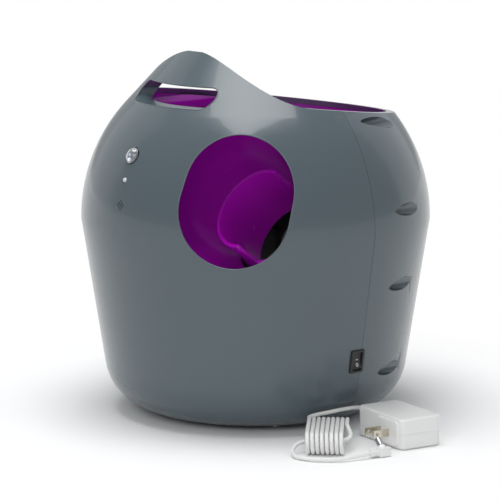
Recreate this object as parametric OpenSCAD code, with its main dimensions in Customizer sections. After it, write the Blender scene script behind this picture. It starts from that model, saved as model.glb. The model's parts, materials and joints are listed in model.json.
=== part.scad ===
// Automatic ball launcher for dogs. Millimetres, +Z up, front towards -Y.
// The origin is on the floor under the middle of the body.

/* [Body] */
// Outside radius of the body at its crease
body_r = 160; // [158:0.5:164]
// Height of the crease above the floor
crease_z = 178; // [175:0.5:182]
// Radius where the flat underside ends
foot_r = 91.5; // [90:0.5:94]
// Radius of the rounded bottom edge
bottom_fillet = 48; // [44:1:52]
// Radius of the arc above the crease
dome_r = 154.6; // [152:0.2:158]
// Angle at which the arc runs out into the straight hood
hood_angle = 42.8; // [41:0.2:44]
// Wall of the two shells
shell_wall = 3; // [2.6:0.1:3.4]
// Gap between the two shells at the seam
seam_gap = 0.3; // [0.2:0.05:0.5]
// Width of the lip inside the rim
lip_w = 5.6; // [5:0.2:6.4]
// Depth of the lip inside the rim
lip_h = 5; // [3:0.5:7]

/* [Rim and hood] */
// Distance of the hood's edge in front of the middle
hood_front = 71; // [68:0.5:74]
// Radius of the curve from the hood into the rim
rim_curve = 46; // [42:1:50]
// Height of the rim straight above the rear wall
rim_rear_z = 269.5; // [267:0.5:272]
// Distance behind the middle at which that height is measured
rim_rear_y = 128; // [120:1:136]
// Fall of the rim towards the rear, in degrees
rim_fall = 7.1; // [6:0.1:8]

/* [Carry slot] */
// Width of the carry slot
slot_w = 104; // [96:1:110]
// Height of the carry slot, seen from the front
slot_h = 18.5; // [16:0.5:20]
// Height of the slot's middle above the floor
slot_z = 297.3; // [296:0.2:299]
// Wall of the sleeve round the slot
sleeve_wall = 2.4; // [2:0.1:3]
// Depth of that sleeve behind the outside face
sleeve_depth = 13; // [9:0.5:16]

/* [Launch opening] */
// Direction that the opening faces, from the front towards the right side
opening_az = 43; // [42:0.5:44]
// Height of the opening's middle above the floor
opening_z = 213; // [211:0.5:215]
// Radius of the upper round of the opening
upper_round_r = 48.5; // [46:0.5:49.5]
// Sideways place of the upper round
upper_round_x = 1; // [0:0.5:2]
// Height of the upper round above the opening's middle
upper_round_z = 9; // [7:0.5:10]
// Radius of the lower round of the opening
lower_round_r = 49.5; // [47:0.5:50.5]
// Sideways place of the lower round
lower_round_x = -3; // [-4:0.5:-2]
// Depth of the lower round below the opening's middle
lower_round_z = 8; // [7:0.5:10]
// Inside radius of the bowl behind the opening
bowl_r = 63; // [62.6:0.1:63.4]
// Distance of the bowl's centre from the middle of the body
bowl_reach = 130; // [129:0.5:134]
// Wall of the bowl
bowl_wall = 2.4; // [2:0.1:2.6]

/* [Nozzle and barrel] */
// Diameter of the ball that is launched
ball_d = 66.6; // [64:0.2:67.4]
// Pivot of the nozzle, towards the right side
pivot_x = 98.5; // [97:0.5:99.5]
// Pivot of the nozzle, in front of the middle
pivot_front = 54; // [52:0.5:56]
// Pivot of the nozzle, above the floor
pivot_z = 180; // [178:0.5:182]
// Steepest setting of the nozzle, and the one drawn
nozzle_high = 36; // [34:1:38]
// Flattest setting of the nozzle
nozzle_low = 22; // [22:1:28]
// Room between the ball and the nozzle, on the radius
nozzle_room = 2.7; // [2:0.1:2.9]
// Wall of the nozzle
nozzle_wall = 3; // [2.4:0.1:3.2]
// Outside radius of the round collar on the nozzle
collar_r = 41.5; // [41.3:0.1:42]
// Half width of that collar
collar_half = 15; // [13:0.5:16]
// Length of the nozzle from its pivot to its mouth
nozzle_len = 44; // [36:1:45]
// Sideways place at which the trough is cut open
trough_cut = 6; // [4:0.5:10]
// Gap between the collar and its socket
socket_gap = 0.5; // [0.3:0.1:0.8]
// Wall of the socket
socket_wall = 2.2; // [2:0.1:2.4]
// Angle from the nozzle's axis at which the socket ends
socket_end = 12; // [11:0.5:13]
// Radius of the nozzle's pivot pins
pivot_pin_r = 2.5; // [2:0.1:3]
// Slope of the barrel, falling towards the rear
barrel_fall = 22; // [21:0.5:23]
// Turn of the barrel away from the front-to-rear line
barrel_az = 18; // [17:0.5:19]
// Room between the ball and the barrel, on the radius
barrel_room = 2.2; // [1.8:0.1:2.4]
// Wall of the barrel
barrel_wall = 2.5; // [2.2:0.1:2.8]
// Length of the barrel from the pivot to its breech
barrel_len = 130; // [128:0.5:131]
// Thickness of the breech
breech = 4; // [3:0.5:4.5]
// Radius of the breech flange
breech_r = 42; // [40:0.5:43]
// Distance from the pivot to the middle of the feed port
port_at = 72; // [71:0.5:74]

/* [Plunger drive] */
// Travel of the plunger when it is drawn back
stroke = 50; // [46:0.5:50]
// Distance from the pivot to the plunger's face at rest
plunger_at = 56; // [54:0.5:57]
// Gap between the plunger and the barrel, on the radius
plunger_gap = 2.5; // [1.5:0.1:3]
// Thickness of the plunger's face
plunger_face = 4; // [3:0.5:5]
// Depth of the skirt behind the plunger's face
plunger_skirt = 10; // [8:0.5:12]
// Width of the rack bar
rack_w = 12; // [10:0.5:13]
// Height of the rack bar above the barrel's axis
rack_top = 6; // [5:0.5:7]
// Pitch line of the rack below the barrel's axis
rack_pitch = 8; // [7.5:0.5:9]
// Module of the rack and of the sector gear
gear_module = 1.5; // [1.4:0.05:1.55]
// Tooth places round the sector gear
gear_places = 20; // [19:1:21]
// Teeth that the sector gear keeps
gear_teeth = 13; // [13:1:13]
// Backlash of the gear, measured along the pitch line
gear_backlash = 0.25; // [0.15:0.05:0.4]
// Width of the sector gear
gear_w = 10; // [8:0.5:11]
// Radius of the drive shaft
shaft_r = 4; // [3:0.25:4.5]
// Running gap between the shaft and its bush
shaft_gap = 0.05; // [0.02:0.01:0.1]
// Outside radius of the bush
bush_r = 6; // [5.5:0.25:7]
// Thickness of the frame's side plates
plate_t = 3; // [2.5:0.25:4]
// Inside distance between the frame's side plates
plate_gap = 29.5; // [28:0.5:31]
// Radius of the gear case of the motor
motor_case_r = 18.5; // [17:0.5:19]
// Length of the gear case of the motor
motor_case_len = 28; // [24:1:32]
// Radius of the motor
motor_r = 17.5; // [16:0.5:18]
// Length of the motor
motor_len = 46; // [40:1:50]
// Wire radius of the launch spring
spring_wire = 1.3; // [1.1:0.05:1.5]
// Mean radius of the launch spring
spring_r = 22; // [20:0.5:25]
// Turns of the launch spring
spring_turns = 6; // [5:1:7]

/* [Ball bucket] */
// Wall of the ball bucket
bucket_wall = 2.5; // [2:0.1:3]
// Height of the bucket's outlet above the floor
outlet_z = 210; // [208:0.5:213]
// Fall of the bucket's floor towards the outlet, in degrees
bucket_fall = 7; // [5:0.5:8]
// Room between the ball and the feed chute, on the radius
chute_room = 2.7; // [2:0.1:3]
// Wall of the feed chute
chute_wall = 2.5; // [2:0.1:2.8]

/* [Front fittings] */
// Height of the motion sensor above the floor
sensor_z = 247; // [245:0.5:250]
// Radius of the motion sensor's lens
lens_r = 8; // [7:0.25:9]
// Height of the status light above the floor
led_z = 226; // [224:0.5:228]
// Radius of the status light
led_r = 2.1; // [1.8:0.1:2.6]
// Height of the speaker above the floor
speaker_z = 204; // [202:0.5:206]
// Radius of the speaker
speaker_r = 16; // [14:0.5:18]
// Radius of one speaker hole
speaker_hole_r = 0.85; // [0.6:0.05:1.1]
// Distance between the rows of speaker holes
speaker_pitch = 2.6; // [2.4:0.1:3]

/* [Switch, jack and dial] */
// Direction of the switch, from the front towards the right side
switch_az = 88; // [87:0.5:89]
// Height of the switch above the floor
switch_z = 65; // [62:0.5:68]
// Width of the switch's bezel
bezel_w = 15; // [14.5:0.1:15.5]
// Height of the switch's bezel
bezel_h = 21; // [20.5:0.1:21.5]
// Swing of the rocker from O to I, in degrees
rocker_swing = 24; // [18:1:26]
// Direction of the power jack
jack_az = 165; // [160:1:170]
// Height of the power jack above the floor
jack_z = 52; // [50:0.5:58]
// Bore radius of the power jack
jack_r = 2.8; // [2.75:0.05:3.2]
// Height of the distance dial above the floor
dial_z = 100; // [92:1:104]
// Radius of the distance dial
dial_r = 18; // [16:0.5:19]
// Depth of the distance dial
dial_h = 8; // [7:0.25:8.25]

/* [Base] */
// Height of the feet
foot_h = 2.5; // [2:0.1:3]
// Radius of one foot
pad_r = 8; // [7:0.25:8.5]
// Radius of the hole under the shells
base_hole_r = 88; // [87:0.25:89]
// Gap between the base plate and the shells
base_gap = 0.3; // [0.2:0.05:0.5]
// Thickness of the base plate's upper flange
base_flange = 2.5; // [2:0.1:3]
// Length of one battery cell
cell_len = 61.5; // [60:0.1:61.6]
// Diameter of one battery cell
cell_d = 34.2; // [33.2:0.1:34.4]
// Room at each end of the two cells in a row
contact_room = 2.2; // [2:0.1:2.4]
// Wall of the battery tray
tray_wall = 1.8; // [1.5:0.1:2.2]
// Gap round the battery door
door_gap = 0.5; // [0.4:0.05:0.7]
// Radius of the battery door's hinge pin
door_pin_r = 0.9; // [0.7:0.05:1]

/* [Screws] */
// Radius of the screw wells in the rear shell
well_r = 5.8; // [5.2:0.1:6]
// Wall of the screw wells
well_wall = 1.5; // [1.2:0.1:1.6]
// Distance of the wells' axes inside the outside face
well_inset = 8.3; // [8.1:0.1:8.8]
// Depth of the well floor behind the seam
well_floor = 12; // [10:0.5:14]
// Thread radius of all screws
screw_r = 1.6; // [1.5:0.05:1.8]
// Head radius of all screws
screw_head_r = 3.4; // [3:0.1:3.8]
// Head height of all screws
screw_head_h = 2; // [1.6:0.1:2.2]

/* [Adapter and cord] */
// Length of the power adapter
adapter_l = 70; // [66:0.5:74]
// Depth of the power adapter
adapter_w = 42; // [40:0.5:44]
// Height of the power adapter
adapter_h = 27; // [26:0.5:28]
// Radius of the cord
cord_r = 1.8; // [1.7:0.05:1.85]
// Loops in the tied hank of cord
hank_loops = 8; // [8:1:8]
// Distance from one loop of the hank to the next
hank_pitch = 4.2; // [4.2:0.05:4.3]
// Half length of the straight runs in one loop of the hank
hank_run = 26.8; // [26.8:0.1:27.2]
// Radius of the bends at the ends of each loop
hank_bend = 8.2; // [8:0.1:8.4]

/* [Fits] */
// Gap between pieces that seat on each other
seat_gap = 0.3; // [0.25:0.05:0.35]

/* [Hidden] */
$fn = 96;

body_top = 334;
far = 400;
cut = 0.5;
// How far inside its arcs a straight side stands, so that it crosses them instead of touching
tuck = 0.02;

grey = [0.33, 0.36, 0.38];
purple = [0.30, 0.02, 0.34];
black = [0.05, 0.05, 0.055];
steel = [0.72, 0.73, 0.75];
bronze = [0.72, 0.52, 0.30];
board_green = [0.05, 0.30, 0.14];

shell_in = shell_wall + seat_gap;
pivot = [pivot_x, -pivot_front, pivot_z];
nozzle_bore = ball_d / 2 + nozzle_room;
nozzle_r = nozzle_bore + nozzle_wall;
socket_in = collar_r + socket_gap;
socket_out = socket_in + socket_wall;
barrel_bore = ball_d / 2 + barrel_room;
barrel_r = barrel_bore + barrel_wall;
breech_end = barrel_len + breech;
port_half = ball_d / 2 + chute_room;
chute_in = ball_d / 2 + chute_room;
chute_out = chute_in + chute_wall;
pitch_r = gear_module * gear_places / 2;
gear_at = breech_end + motor_case_r + seat_gap;
gear_drop = rack_pitch + pitch_r;
tooth_pitch = PI * gear_module;
rack_root = rack_pitch - 1.2 * gear_module;
rack_tip = rack_pitch + gear_module;
rack_teeth = 13;
rack_end = gear_at + 1.5 * tooth_pitch;
plate_left = -gear_w / 2 - 12.5;
plate_right = plate_left + plate_gap;
tray_w = 3 * cell_d + 1.5 + 2 * tray_wall;
tray_l = 2 * (cell_len + contact_room) + 2 * tray_wall;
plate_top = foot_h + shell_wall + base_gap + base_flange;
tray_top = plate_top + cell_d + 3 + tray_wall;
tray_round = 12;
door_w = tray_w - 2 * tray_wall + 2;
door_l = tray_l - 2 * tray_wall + 2;

// ---- outline of the body ----

// Angle at which the bottom fillet meets the straight side
function side_angle(inset) =
    let (dx = body_r - inset - foot_r, dz = crease_z - foot_h - bottom_fillet)
    atan2(dz, dx) - acos((bottom_fillet - inset) / norm([dx, dz]));

function hood_end(inset) =
    [body_r - dome_r, crease_z] + (dome_r - inset) * [cos(hood_angle), sin(hood_angle)];

module body_profile(inset) {
    low = foot_h + inset;
    edge = [foot_r, foot_h + bottom_fillet];
    r = bottom_fillet - inset;
    side = edge + r * [cos(side_angle(inset)), sin(side_angle(inset))];
    top = hood_end(inset);
    lean = (body_top - top[1]) * tan(hood_angle);
    polygon([[0, low], [foot_r, low], side, [body_r - inset, crease_z], top,
        [top[0] - lean, body_top], [0, body_top]]);
    intersection() {
        translate(edge) circle(r);
        translate([foot_r, 0]) square([far, side[1]]);
    }
    intersection() {
        translate([body_r - dome_r, crease_z]) circle(dome_r - inset);
        translate([0, crease_z]) square([far, top[1] - crease_z]);
    }
}

// Outside radius of the body at a height above the crease, and of its straight side
function dome_angle(z) = asin((z - crease_z) / dome_r);
function dome_radius(z) = body_r - dome_r + dome_r * cos(dome_angle(z));
function side_foot() =
    [foot_r, foot_h + bottom_fillet] + bottom_fillet * [cos(side_angle(0)), sin(side_angle(0))];
function side_slope() = (body_r - side_foot()[0]) / (crease_z - side_foot()[1]);
function side_radius(z) = body_r - (crease_z - z) * side_slope();

module body_solid(inset) {
    rotate([0, 0, 225]) rotate_extrude($fn = 160) body_profile(inset);
}

module on_dome(az, z) {
    rotate([0, 0, az]) translate([0, -dome_radius(z), z]) rotate([90 - dome_angle(z), 0, 0])
        children();
}

module on_side(az, z) {
    rotate([0, 0, az]) translate([0, -side_radius(z), z])
        rotate([90 + atan(side_slope()), 0, 0]) children();
}

// Everything above the rim, with the rim lowered by drop
module above_rim(drop) {
    r = rim_curve + drop;
    front = -hood_front - drop;
    middle = [rim_curve - hood_front, rim_rear_z
        + (rim_rear_y - rim_curve + hood_front) * tan(rim_fall) + rim_curve / cos(rim_fall)];
    low = middle - (r - tuck) * [sin(rim_fall), cos(rim_fall)];
    rear_y = body_r + 60;
    rotate([90, 0, 90]) translate([0, 0, -far]) linear_extrude(2 * far) {
        polygon([[front, far], [front, middle[1]], middle, low,
            [rear_y, low[1] - (rear_y - low[0]) * tan(rim_fall)], [rear_y, far]]);
        intersection() {
            translate(middle) circle(r);
            translate([front, middle[1] - r]) square([middle[0] - front, r]);
        }
    }
}

module half(side) {
    translate([-far, side > 0 ? seam_gap / 2 : -far - seam_gap / 2, -far])
        cube([2 * far, far, 2 * far]);
}

// ---- carry slot and launch opening ----

module stadium(w, h) {
    square([w - h, h], center = true);
    for (s = [-1, 1]) translate([s * (w - h) / 2, 0]) circle(h / 2);
}

module slot_bar(grow) {
    translate([0, -20, slot_z]) rotate([90, 0, 0])
        linear_extrude(body_r) stadium(slot_w + 2 * grow, slot_h + 2 * grow);
}

module at_opening() {
    translate([0, 0, opening_z]) rotate([0, 0, opening_az]) rotate([90, 0, 0]) children();
}

// Two rounds and the straight sides that touch both
module opening_outline(grow) {
    a = [upper_round_x, upper_round_z];
    b = [lower_round_x, -lower_round_z];
    ra = upper_round_r + grow;
    rb = lower_round_r + grow;
    along = atan2(a[1] - b[1], a[0] - b[0]);
    lean = acos((rb - ra) / norm(a - b));
    left = [cos(along + lean), sin(along + lean)];
    right = [cos(along - lean), sin(along - lean)];
    translate(a) circle(ra);
    translate(b) circle(rb);
    polygon([a + (ra - tuck) * left, b + (rb - tuck) * left,
        b + (rb - tuck) * right, a + (ra - tuck) * right]);
}

module bowl_solid(r) {
    at_opening() {
        translate([0, 0, bowl_reach]) sphere(r);
        translate([0, 0, bowl_reach]) cylinder(r = r, h = body_r + 30 - bowl_reach);
    }
}

// ---- screws ----

wells = [272, 197, 129, 50];
function well_x(z) = (z > crease_z ? dome_radius(z) : side_radius(z)) - well_inset;

module each_well() {
    for (z = wells, s = [-1, 1]) translate([s * well_x(z), 0, z]) children();
}

// A rod along every well, from one distance behind the seam to another
module well_bores(r, from, to) {
    for (s = [-1, 1]) for (z = wells) translate([s * well_x(z), from, z]) rotate([-90, 0, 0])
        rotate([0, 0, s > 0 ? 90 : 45]) cylinder(r = r, h = to - from);
}

module screw(len) {
    cylinder(r = screw_r, h = len);
    translate([0, 0, -screw_head_h]) cylinder(r = screw_head_r, h = screw_head_h);
}

base_screw_angles = [30, 90, 150, 210, 270, 330];

module each_base_screw() {
    for (a = base_screw_angles) rotate([0, 0, a]) translate([foot_r, 0, 0]) children();
}

// ---- shells ----

module shell_wall_solid() {
    difference() {
        body_solid(0);
        body_solid(shell_wall);
    }
    intersection() {
        difference() {
            body_solid(cut);
            body_solid(lip_w);
        }
        above_rim(lip_h);
    }
}

module slot_sleeve() {
    intersection() {
        difference() {
            body_solid(cut);
            body_solid(sleeve_depth);
        }
        slot_bar(sleeve_wall);
    }
}

module switch_cut() {
    on_side(switch_az, switch_z)
        cube([bezel_w - 2 + 0.4, bezel_h - 2 + 0.4, 40], center = true);
}

module base_hole() {
    cylinder(r = base_hole_r, h = foot_h + shell_wall + 2);
    each_base_screw() translate([0, 0, foot_h - 1]) cylinder(r = screw_r + 0.1, h = 6);
}

module front_bosses() {
    well_bores(well_r, -14, 2);
}

module front_shell() color(grey) {
    difference() {
        intersection() {
            union() {
                shell_wall_solid();
                slot_sleeve();
                front_bosses();
                board_bosses();
            }
            half(-1);
        }
        above_rim(0);
        slot_bar(0);
        at_opening() translate([0, 0, bowl_reach - 50]) linear_extrude(110) opening_outline(0);
        on_dome(0, sensor_z) translate([0, 0, -10]) cylinder(r = lens_r + 0.1, h = 20);
        on_dome(0, led_z) translate([0, 0, -8]) cylinder(r = led_r + 0.1, h = 16);
        on_dome(0, speaker_z) translate([0, 0, -8]) linear_extrude(16) speaker_pattern();
        switch_cut();
        base_hole();
        well_bores(screw_r + 0.1, -30, 3);
    }
}

module rear_shell() color(grey) {
    difference() {
        intersection() {
            union() {
                shell_wall_solid();
                intersection() {
                    body_solid(cut);
                    well_bores(well_r + well_wall, -2, 80);
                }
            }
            half(1);
        }
        above_rim(0);
        well_bores(well_r, well_floor, body_r);
        well_bores(screw_r + 0.1, -3, well_floor + 2);
        switch_cut();
        base_hole();
        on_side(jack_az, jack_z) translate([0, 0, -10]) cylinder(r = jack_body_r + 0.2, h = 20);
        on_side(180, dial_z) translate([0, 0, -10]) cylinder(r = dial_shaft_r + 1, h = 20);
    }
}

module shell_screws() color(steel) {
    each_well() translate([0, well_floor, 0]) rotate([90, 0, 0]) screw(well_floor + 13);
}

// ---- ball bucket, chute and ball lever ----

function barrel_point(s) = pivot + s * [-sin(barrel_az) * cos(barrel_fall),
    cos(barrel_az) * cos(barrel_fall), -sin(barrel_fall)];
outlet = [barrel_point(port_at)[0], barrel_point(port_at)[1], 0];

// Everything above the sloping floor, which falls towards the outlet
module above_floor(drop) {
    rise = 90;
    translate(outlet + [0, 0, outlet_z - drop])
        cylinder(r1 = chute_in, r2 = chute_in + rise / tan(bucket_fall), h = rise);
}

module well_rods(grow) {
    for (s = [-1, 1]) translate([s * well_x(wells[0]), 0, wells[0]])
        rotate([90, 0, 0]) cylinder(r = well_r + well_wall + grow, h = 200, center = true);
}

// Room for the bowl, the socket, the wells, the slot and the sensor inside the bucket's walls
module bucket_room(grow) {
    bowl_solid(bowl_r + bowl_wall + seat_gap + grow);
    translate(pivot) sphere(socket_out + seat_gap + grow);
    well_rods(seat_gap + grow);
    translate([-sensor_room / 2 - grow, -body_r, outlet_z - 20])
        cube([sensor_room + 2 * grow, body_r - sensor_back + grow, sensor_top + 20 - outlet_z + grow]);
}

sensor_room = 46;
sensor_back = 128;
sensor_top = 261;

module ball_bucket() color(purple) {
    difference() {
        intersection() {
            body_solid(shell_in);
            above_floor(bucket_wall);
        }
        above_rim(lip_h + seat_gap);
        bucket_room(0);
        slot_bar(sleeve_wall + seat_gap);
        difference() {
            intersection() {
                body_solid(shell_in + bucket_wall);
                above_floor(0);
            }
            bucket_room(bucket_wall);
        }
        translate(outlet + [0, 0, outlet_z - 20]) cylinder(r = chute_in, h = 40);
    }
}

lever_x = outlet[0] - chute_out - 4.4;
lever_z = 190;
lever_w = 7;
ear_t = 2;

module lever_slot() {
    translate([outlet[0] - chute_out - 2, outlet[1] - lever_w / 2 - 1, lever_z - 16])
        cube([8, lever_w + 2, 20]);
}

module feed_chute() color(black) {
    low = 120;
    difference() {
        union() {
            translate(outlet + [0, 0, low])
                cylinder(r = chute_out, h = outlet_z - bucket_wall - seat_gap - low);
            for (s = [-1, 1])
                translate([lever_x - 3, outlet[1] + s * (lever_w / 2 + 1 + ear_t / 2), lever_z])
                    translate([6, 0, -1]) cube([12, ear_t, 12], center = true);
            translate([lever_x - 16, outlet[1] - 6, lever_z - 14]) cube([22, 12, ear_t]);
        }
        translate(outlet + [0, 0, low - 1]) cylinder(r = chute_in, h = far);
        barrel_axis() rotate([-90, 0, 0]) translate([0, 0, -20])
            cylinder(r = barrel_r + seat_gap, h = barrel_len + 60);
        translate(pivot) sphere(socket_out + seat_gap);
        lever_slot();
        at_lever() cylinder(r = 1.3, h = 40, center = true);
    }
}

module at_lever() {
    translate([lever_x, outlet[1], lever_z]) rotate([90, 0, 0]) children();
}

module ball_lever() color(black) {
    difference() {
        union() {
            at_lever() cylinder(r = 3, h = lever_w, center = true);
            translate([lever_x, outlet[1] - lever_w / 2, lever_z - 0.8]) cube([14, lever_w, 1.6]);
            translate([lever_x - 10, outlet[1] - lever_w / 2, lever_z - 0.8])
                cube([10, lever_w, 1.6]);
        }
        at_lever() cylinder(r = 1.3, h = 40, center = true);
    }
}

module lever_pin() color(steel) {
    at_lever() cylinder(r = 1.25, h = lever_w + 2 + 2 * ear_t, center = true);
}

module lever_switch() color(black) {
    base = lever_z - 14 + ear_t;
    translate([lever_x - 15, outlet[1] - 3.2, base]) cube([12, 6.4, 9]);
    translate([lever_x - 8, outlet[1], base + 8])
        cylinder(r = 1.2, h = lever_z - 0.8 - seat_gap - base - 8);
}

// ---- launch bowl and nozzle ----

module launch_bowl() color(purple) {
    difference() {
        intersection() {
            bowl_solid(bowl_r + bowl_wall);
            body_solid(shell_in);
        }
        bowl_solid(bowl_r);
        translate(pivot) sphere(socket_out + seat_gap);
        barrel_axis() rotate([-90, 0, 0]) cylinder(r = barrel_r + 0.4, h = barrel_len);
    }
}

module nozzle_axis() {
    translate(pivot) rotate([-nozzle_high, 0, 0]) children();
}

module nozzle() color(purple) {
    nozzle_axis() difference() {
        union() {
            intersection() {
                sphere(collar_r);
                cube([far, 2 * collar_half, far], center = true);
            }
            translate([0, collar_half - 2, 0]) rotate([90, 0, 0])
                cylinder(r = nozzle_r, h = nozzle_len + collar_half - 2);
        }
        translate([0, 40, 0]) rotate([90, 0, 0]) cylinder(r = nozzle_bore, h = 140);
        translate([trough_cut, -collar_half - 1 - far, -far / 2]) cube(far);
        rotate([0, 90, 0]) cylinder(r = pivot_pin_r + 0.02, h = far, center = true);
    }
}

module nozzle_pins() color(steel) {
    for (s = [-1, 1]) translate(pivot) rotate([0, s * 90, 0])
        translate([0, 0, nozzle_bore + 1])
            cylinder(r = pivot_pin_r, h = socket_out - nozzle_bore - 1.3);
}

// ---- barrel, plunger and drive ----

// Frame of the barrel: +Y along its axis towards the rear, origin at the nozzle's pivot
module barrel_axis() {
    translate(pivot) rotate([-barrel_fall, 0, barrel_az]) children();
}

module launch_barrel() color(black) {
    difference() {
        union() {
            barrel_axis() rotate([-90, 0, 0]) cylinder(r = barrel_r, h = breech_end);
            barrel_axis() translate([0, barrel_len, 0]) rotate([-90, 0, 0])
                cylinder(r = breech_r, h = breech);
            difference() {
                translate(pivot) sphere(socket_out);
                for (e = [nozzle_low, nozzle_high]) translate(pivot) rotate([-e, 0, 0])
                    translate([-far / 2, -far - socket_end, -far / 2]) cube(far);
            }
        }
        translate(pivot) sphere(socket_in);
        barrel_axis() rotate([-90, 0, 0]) cylinder(r = barrel_bore, h = barrel_len);
        barrel_axis() translate([-port_half, port_at - port_half, 5])
            cube([2 * port_half, 2 * port_half, 60]);
        translate(outlet + [0, 0, 130]) cylinder(r = chute_in, h = 120);
        barrel_axis() translate([-rack_w / 2 - 0.5, barrel_len - 1, -rack_tip - 0.5])
            cube([rack_w + 1, breech + 2, rack_top + rack_tip + 1]);
        translate(pivot) rotate([0, 90, 0])
            cylinder(r = pivot_pin_r + 0.1, h = far, center = true);
    }
}

module plunger() color(bronze) {
    r = barrel_bore - plunger_gap;
    barrel_axis() {
        difference() {
            translate([0, plunger_at, 0]) rotate([-90, 0, 0])
                cylinder(r = r, h = plunger_skirt);
            translate([0, plunger_at + plunger_face, 0]) rotate([-90, 0, 0])
                cylinder(r = r - 2, h = plunger_skirt);
        }
        translate([-rack_w / 2, plunger_at + 1, -rack_root])
            cube([rack_w, rack_end - plunger_at - 1, rack_root + rack_top]);
        for (i = [0 : rack_teeth - 1]) rack_tooth(gear_at + (0.5 - i) * tooth_pitch);
    }
}

// One rack tooth, pointing down, with its middle at y
module rack_tooth(y) {
    half_pitch = tooth_pitch / 4 - gear_backlash / 2;
    lean = tan(20);
    tip = half_pitch - gear_module * lean;
    root = half_pitch + (rack_pitch - rack_root + 0.4) * lean;
    translate([-rack_w / 2, y, -rack_pitch]) rotate([90, 0, 90]) linear_extrude(rack_w)
        polygon([[-tip, -gear_module], [tip, -gear_module],
            [root, rack_pitch - rack_root + 0.4], [-root, rack_pitch - rack_root + 0.4]]);
}

module launch_spring() color(steel) {
    from = plunger_at + plunger_face + spring_wire + 0.2;
    to = barrel_len - spring_wire - 0.2;
    steps = 16 * spring_turns;
    sides = 8;
    points = [for (i = [0 : steps]) let (a = 360 * i / 16, y = from + (to - from) * i / steps)
        for (k = [0 : sides - 1]) let (b = 360 * k / sides, r = spring_r + spring_wire * cos(b))
            [r * cos(a), y + spring_wire * sin(b), r * sin(a)]];
    sleeve = [for (i = [0 : steps - 1], k = [0 : sides - 1])
        let (a = i * sides + k, b = i * sides + (k + 1) % sides)
        each [[a, b, b + sides], [a, b + sides, a + sides]]];
    last = steps * sides;
    caps = [for (k = [1 : sides - 2])
        each [[0, k + 1, k], [last, last + k, last + k + 1]]];
    barrel_axis() polyhedron(points, concat(sleeve, caps));
}

module gear_axis() {
    barrel_axis() translate([0, gear_at, -gear_drop]) rotate([90, 0, 90]) children();
}

function degrees(a) = a * 180 / PI;
function involute(r, base) = let (a = acos(base / r)) degrees(tan(a)) - a;

// Half the angle that a tooth takes up at radius r
function tooth_half(r) =
    let (base = pitch_r * cos(20), at_pitch = 90 / gear_places - degrees(gear_backlash / 4 / pitch_r))
    at_pitch + involute(pitch_r, base) - involute(max(r, base), base);

module sector_gear() color(steel) {
    root = pitch_r - 1.25 * gear_module;
    tip = pitch_r + gear_module;
    low = pitch_r * cos(20) + 0.02;
    radii = [for (i = [0 : 4]) low + (tip - low) * i / 4];
    pitch = 360 / gear_places;
    gear_axis() translate([0, 0, -gear_w / 2]) difference() {
        union() {
            cylinder(r = root, h = gear_w);
            for (t = [0 : gear_teeth - 1]) rotate([0, 0, 90 + (t - 1) * pitch])
                linear_extrude(gear_w) polygon(concat(
                    [[root - 1, (root - 1) * sin(-tooth_half(low))]],
                    [for (r = radii) r * [cos(-tooth_half(r)), sin(-tooth_half(r))]],
                    [for (i = [4 : -1 : 0]) let (r = radii[i])
                        r * [cos(tooth_half(r)), sin(tooth_half(r))]],
                    [[root - 1, (root - 1) * sin(tooth_half(low))]]));
        }
        translate([0, 0, -1]) cylinder(r = shaft_r, h = gear_w + 2);
    }
}

module drive_shaft() color(steel) {
    from = plate_left - plate_t + seat_gap;
    gear_axis() translate([0, 0, from]) cylinder(r = shaft_r, h = plate_right + plate_t + 1 - from);
}

module shaft_bush() color(bronze) {
    gear_axis() translate([0, 0, plate_right]) difference() {
        union() {
            cylinder(r = bush_r, h = plate_t);
            translate([0, 0, -1.5]) cylinder(r = bush_r + 1.5, h = 1.5);
        }
        translate([0, 0, -5]) cylinder(r = shaft_r + shaft_gap, h = 20);
    }
}

module gear_motor() color(steel) {
    gear_axis() translate([0, 0, plate_left - plate_t]) rotate([180, 0, 0]) {
        cylinder(r = motor_case_r, h = motor_case_len);
        translate([0, 0, motor_case_len - cut]) cylinder(r = motor_r, h = motor_len);
        translate([0, 0, motor_case_len + motor_len - 1]) cylinder(r = 5, h = 4);
        for (s = [-1, 1]) translate([s * 10 - 1.5, -0.4, motor_case_len + motor_len - 1])
            cube([3, 0.8, 8]);
    }
}

module drive_frame() color([0.14, 0.14, 0.15]) {
    rear = gear_at + 26;
    difference() {
        union() {
            intersection() {
                barrel_axis() for (x = [plate_left - plate_t, plate_right])
                    translate([x, breech_end, -130]) cube([plate_t, rear - breech_end, 130 + 12]);
                translate([-far, -far, tray_top]) cube(2 * far);
            }
            barrel_axis() translate([plate_left - 1, gear_at - 10, rack_top + seat_gap])
                cube([plate_gap + 2, 20, 12 - rack_top - seat_gap]);
            translate([tray_w / 2 - 22, 30, tray_top]) cube([50, 50, plate_t]);
        }
        gear_axis() translate([0, 0, plate_right - 1]) cylinder(r = bush_r, h = plate_t + 2);
        gear_axis() translate([0, 0, plate_left - plate_t - 1])
            cylinder(r = shaft_r + 2, h = plate_t + 2);
    }
}

module barrel_cradle() color([0.14, 0.14, 0.15]) {
    post_x = tray_w / 2 + 2;
    difference() {
        union() {
            translate([post_x, -9, plate_top]) cube([34, 6, 130]);
            translate([post_x - 6, -9, 105]) cube([54, 6, 45]);
            translate([post_x, -16, plate_top]) cube([34, 20, 3]);
        }
        barrel_axis() rotate([-90, 0, 0]) cylinder(r = barrel_r + seat_gap, h = barrel_len);
        barrel_axis() translate([-60, 0, 0]) cube([120, barrel_len, 80]);
    }
}

// ---- sensor, light and speaker ----

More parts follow.
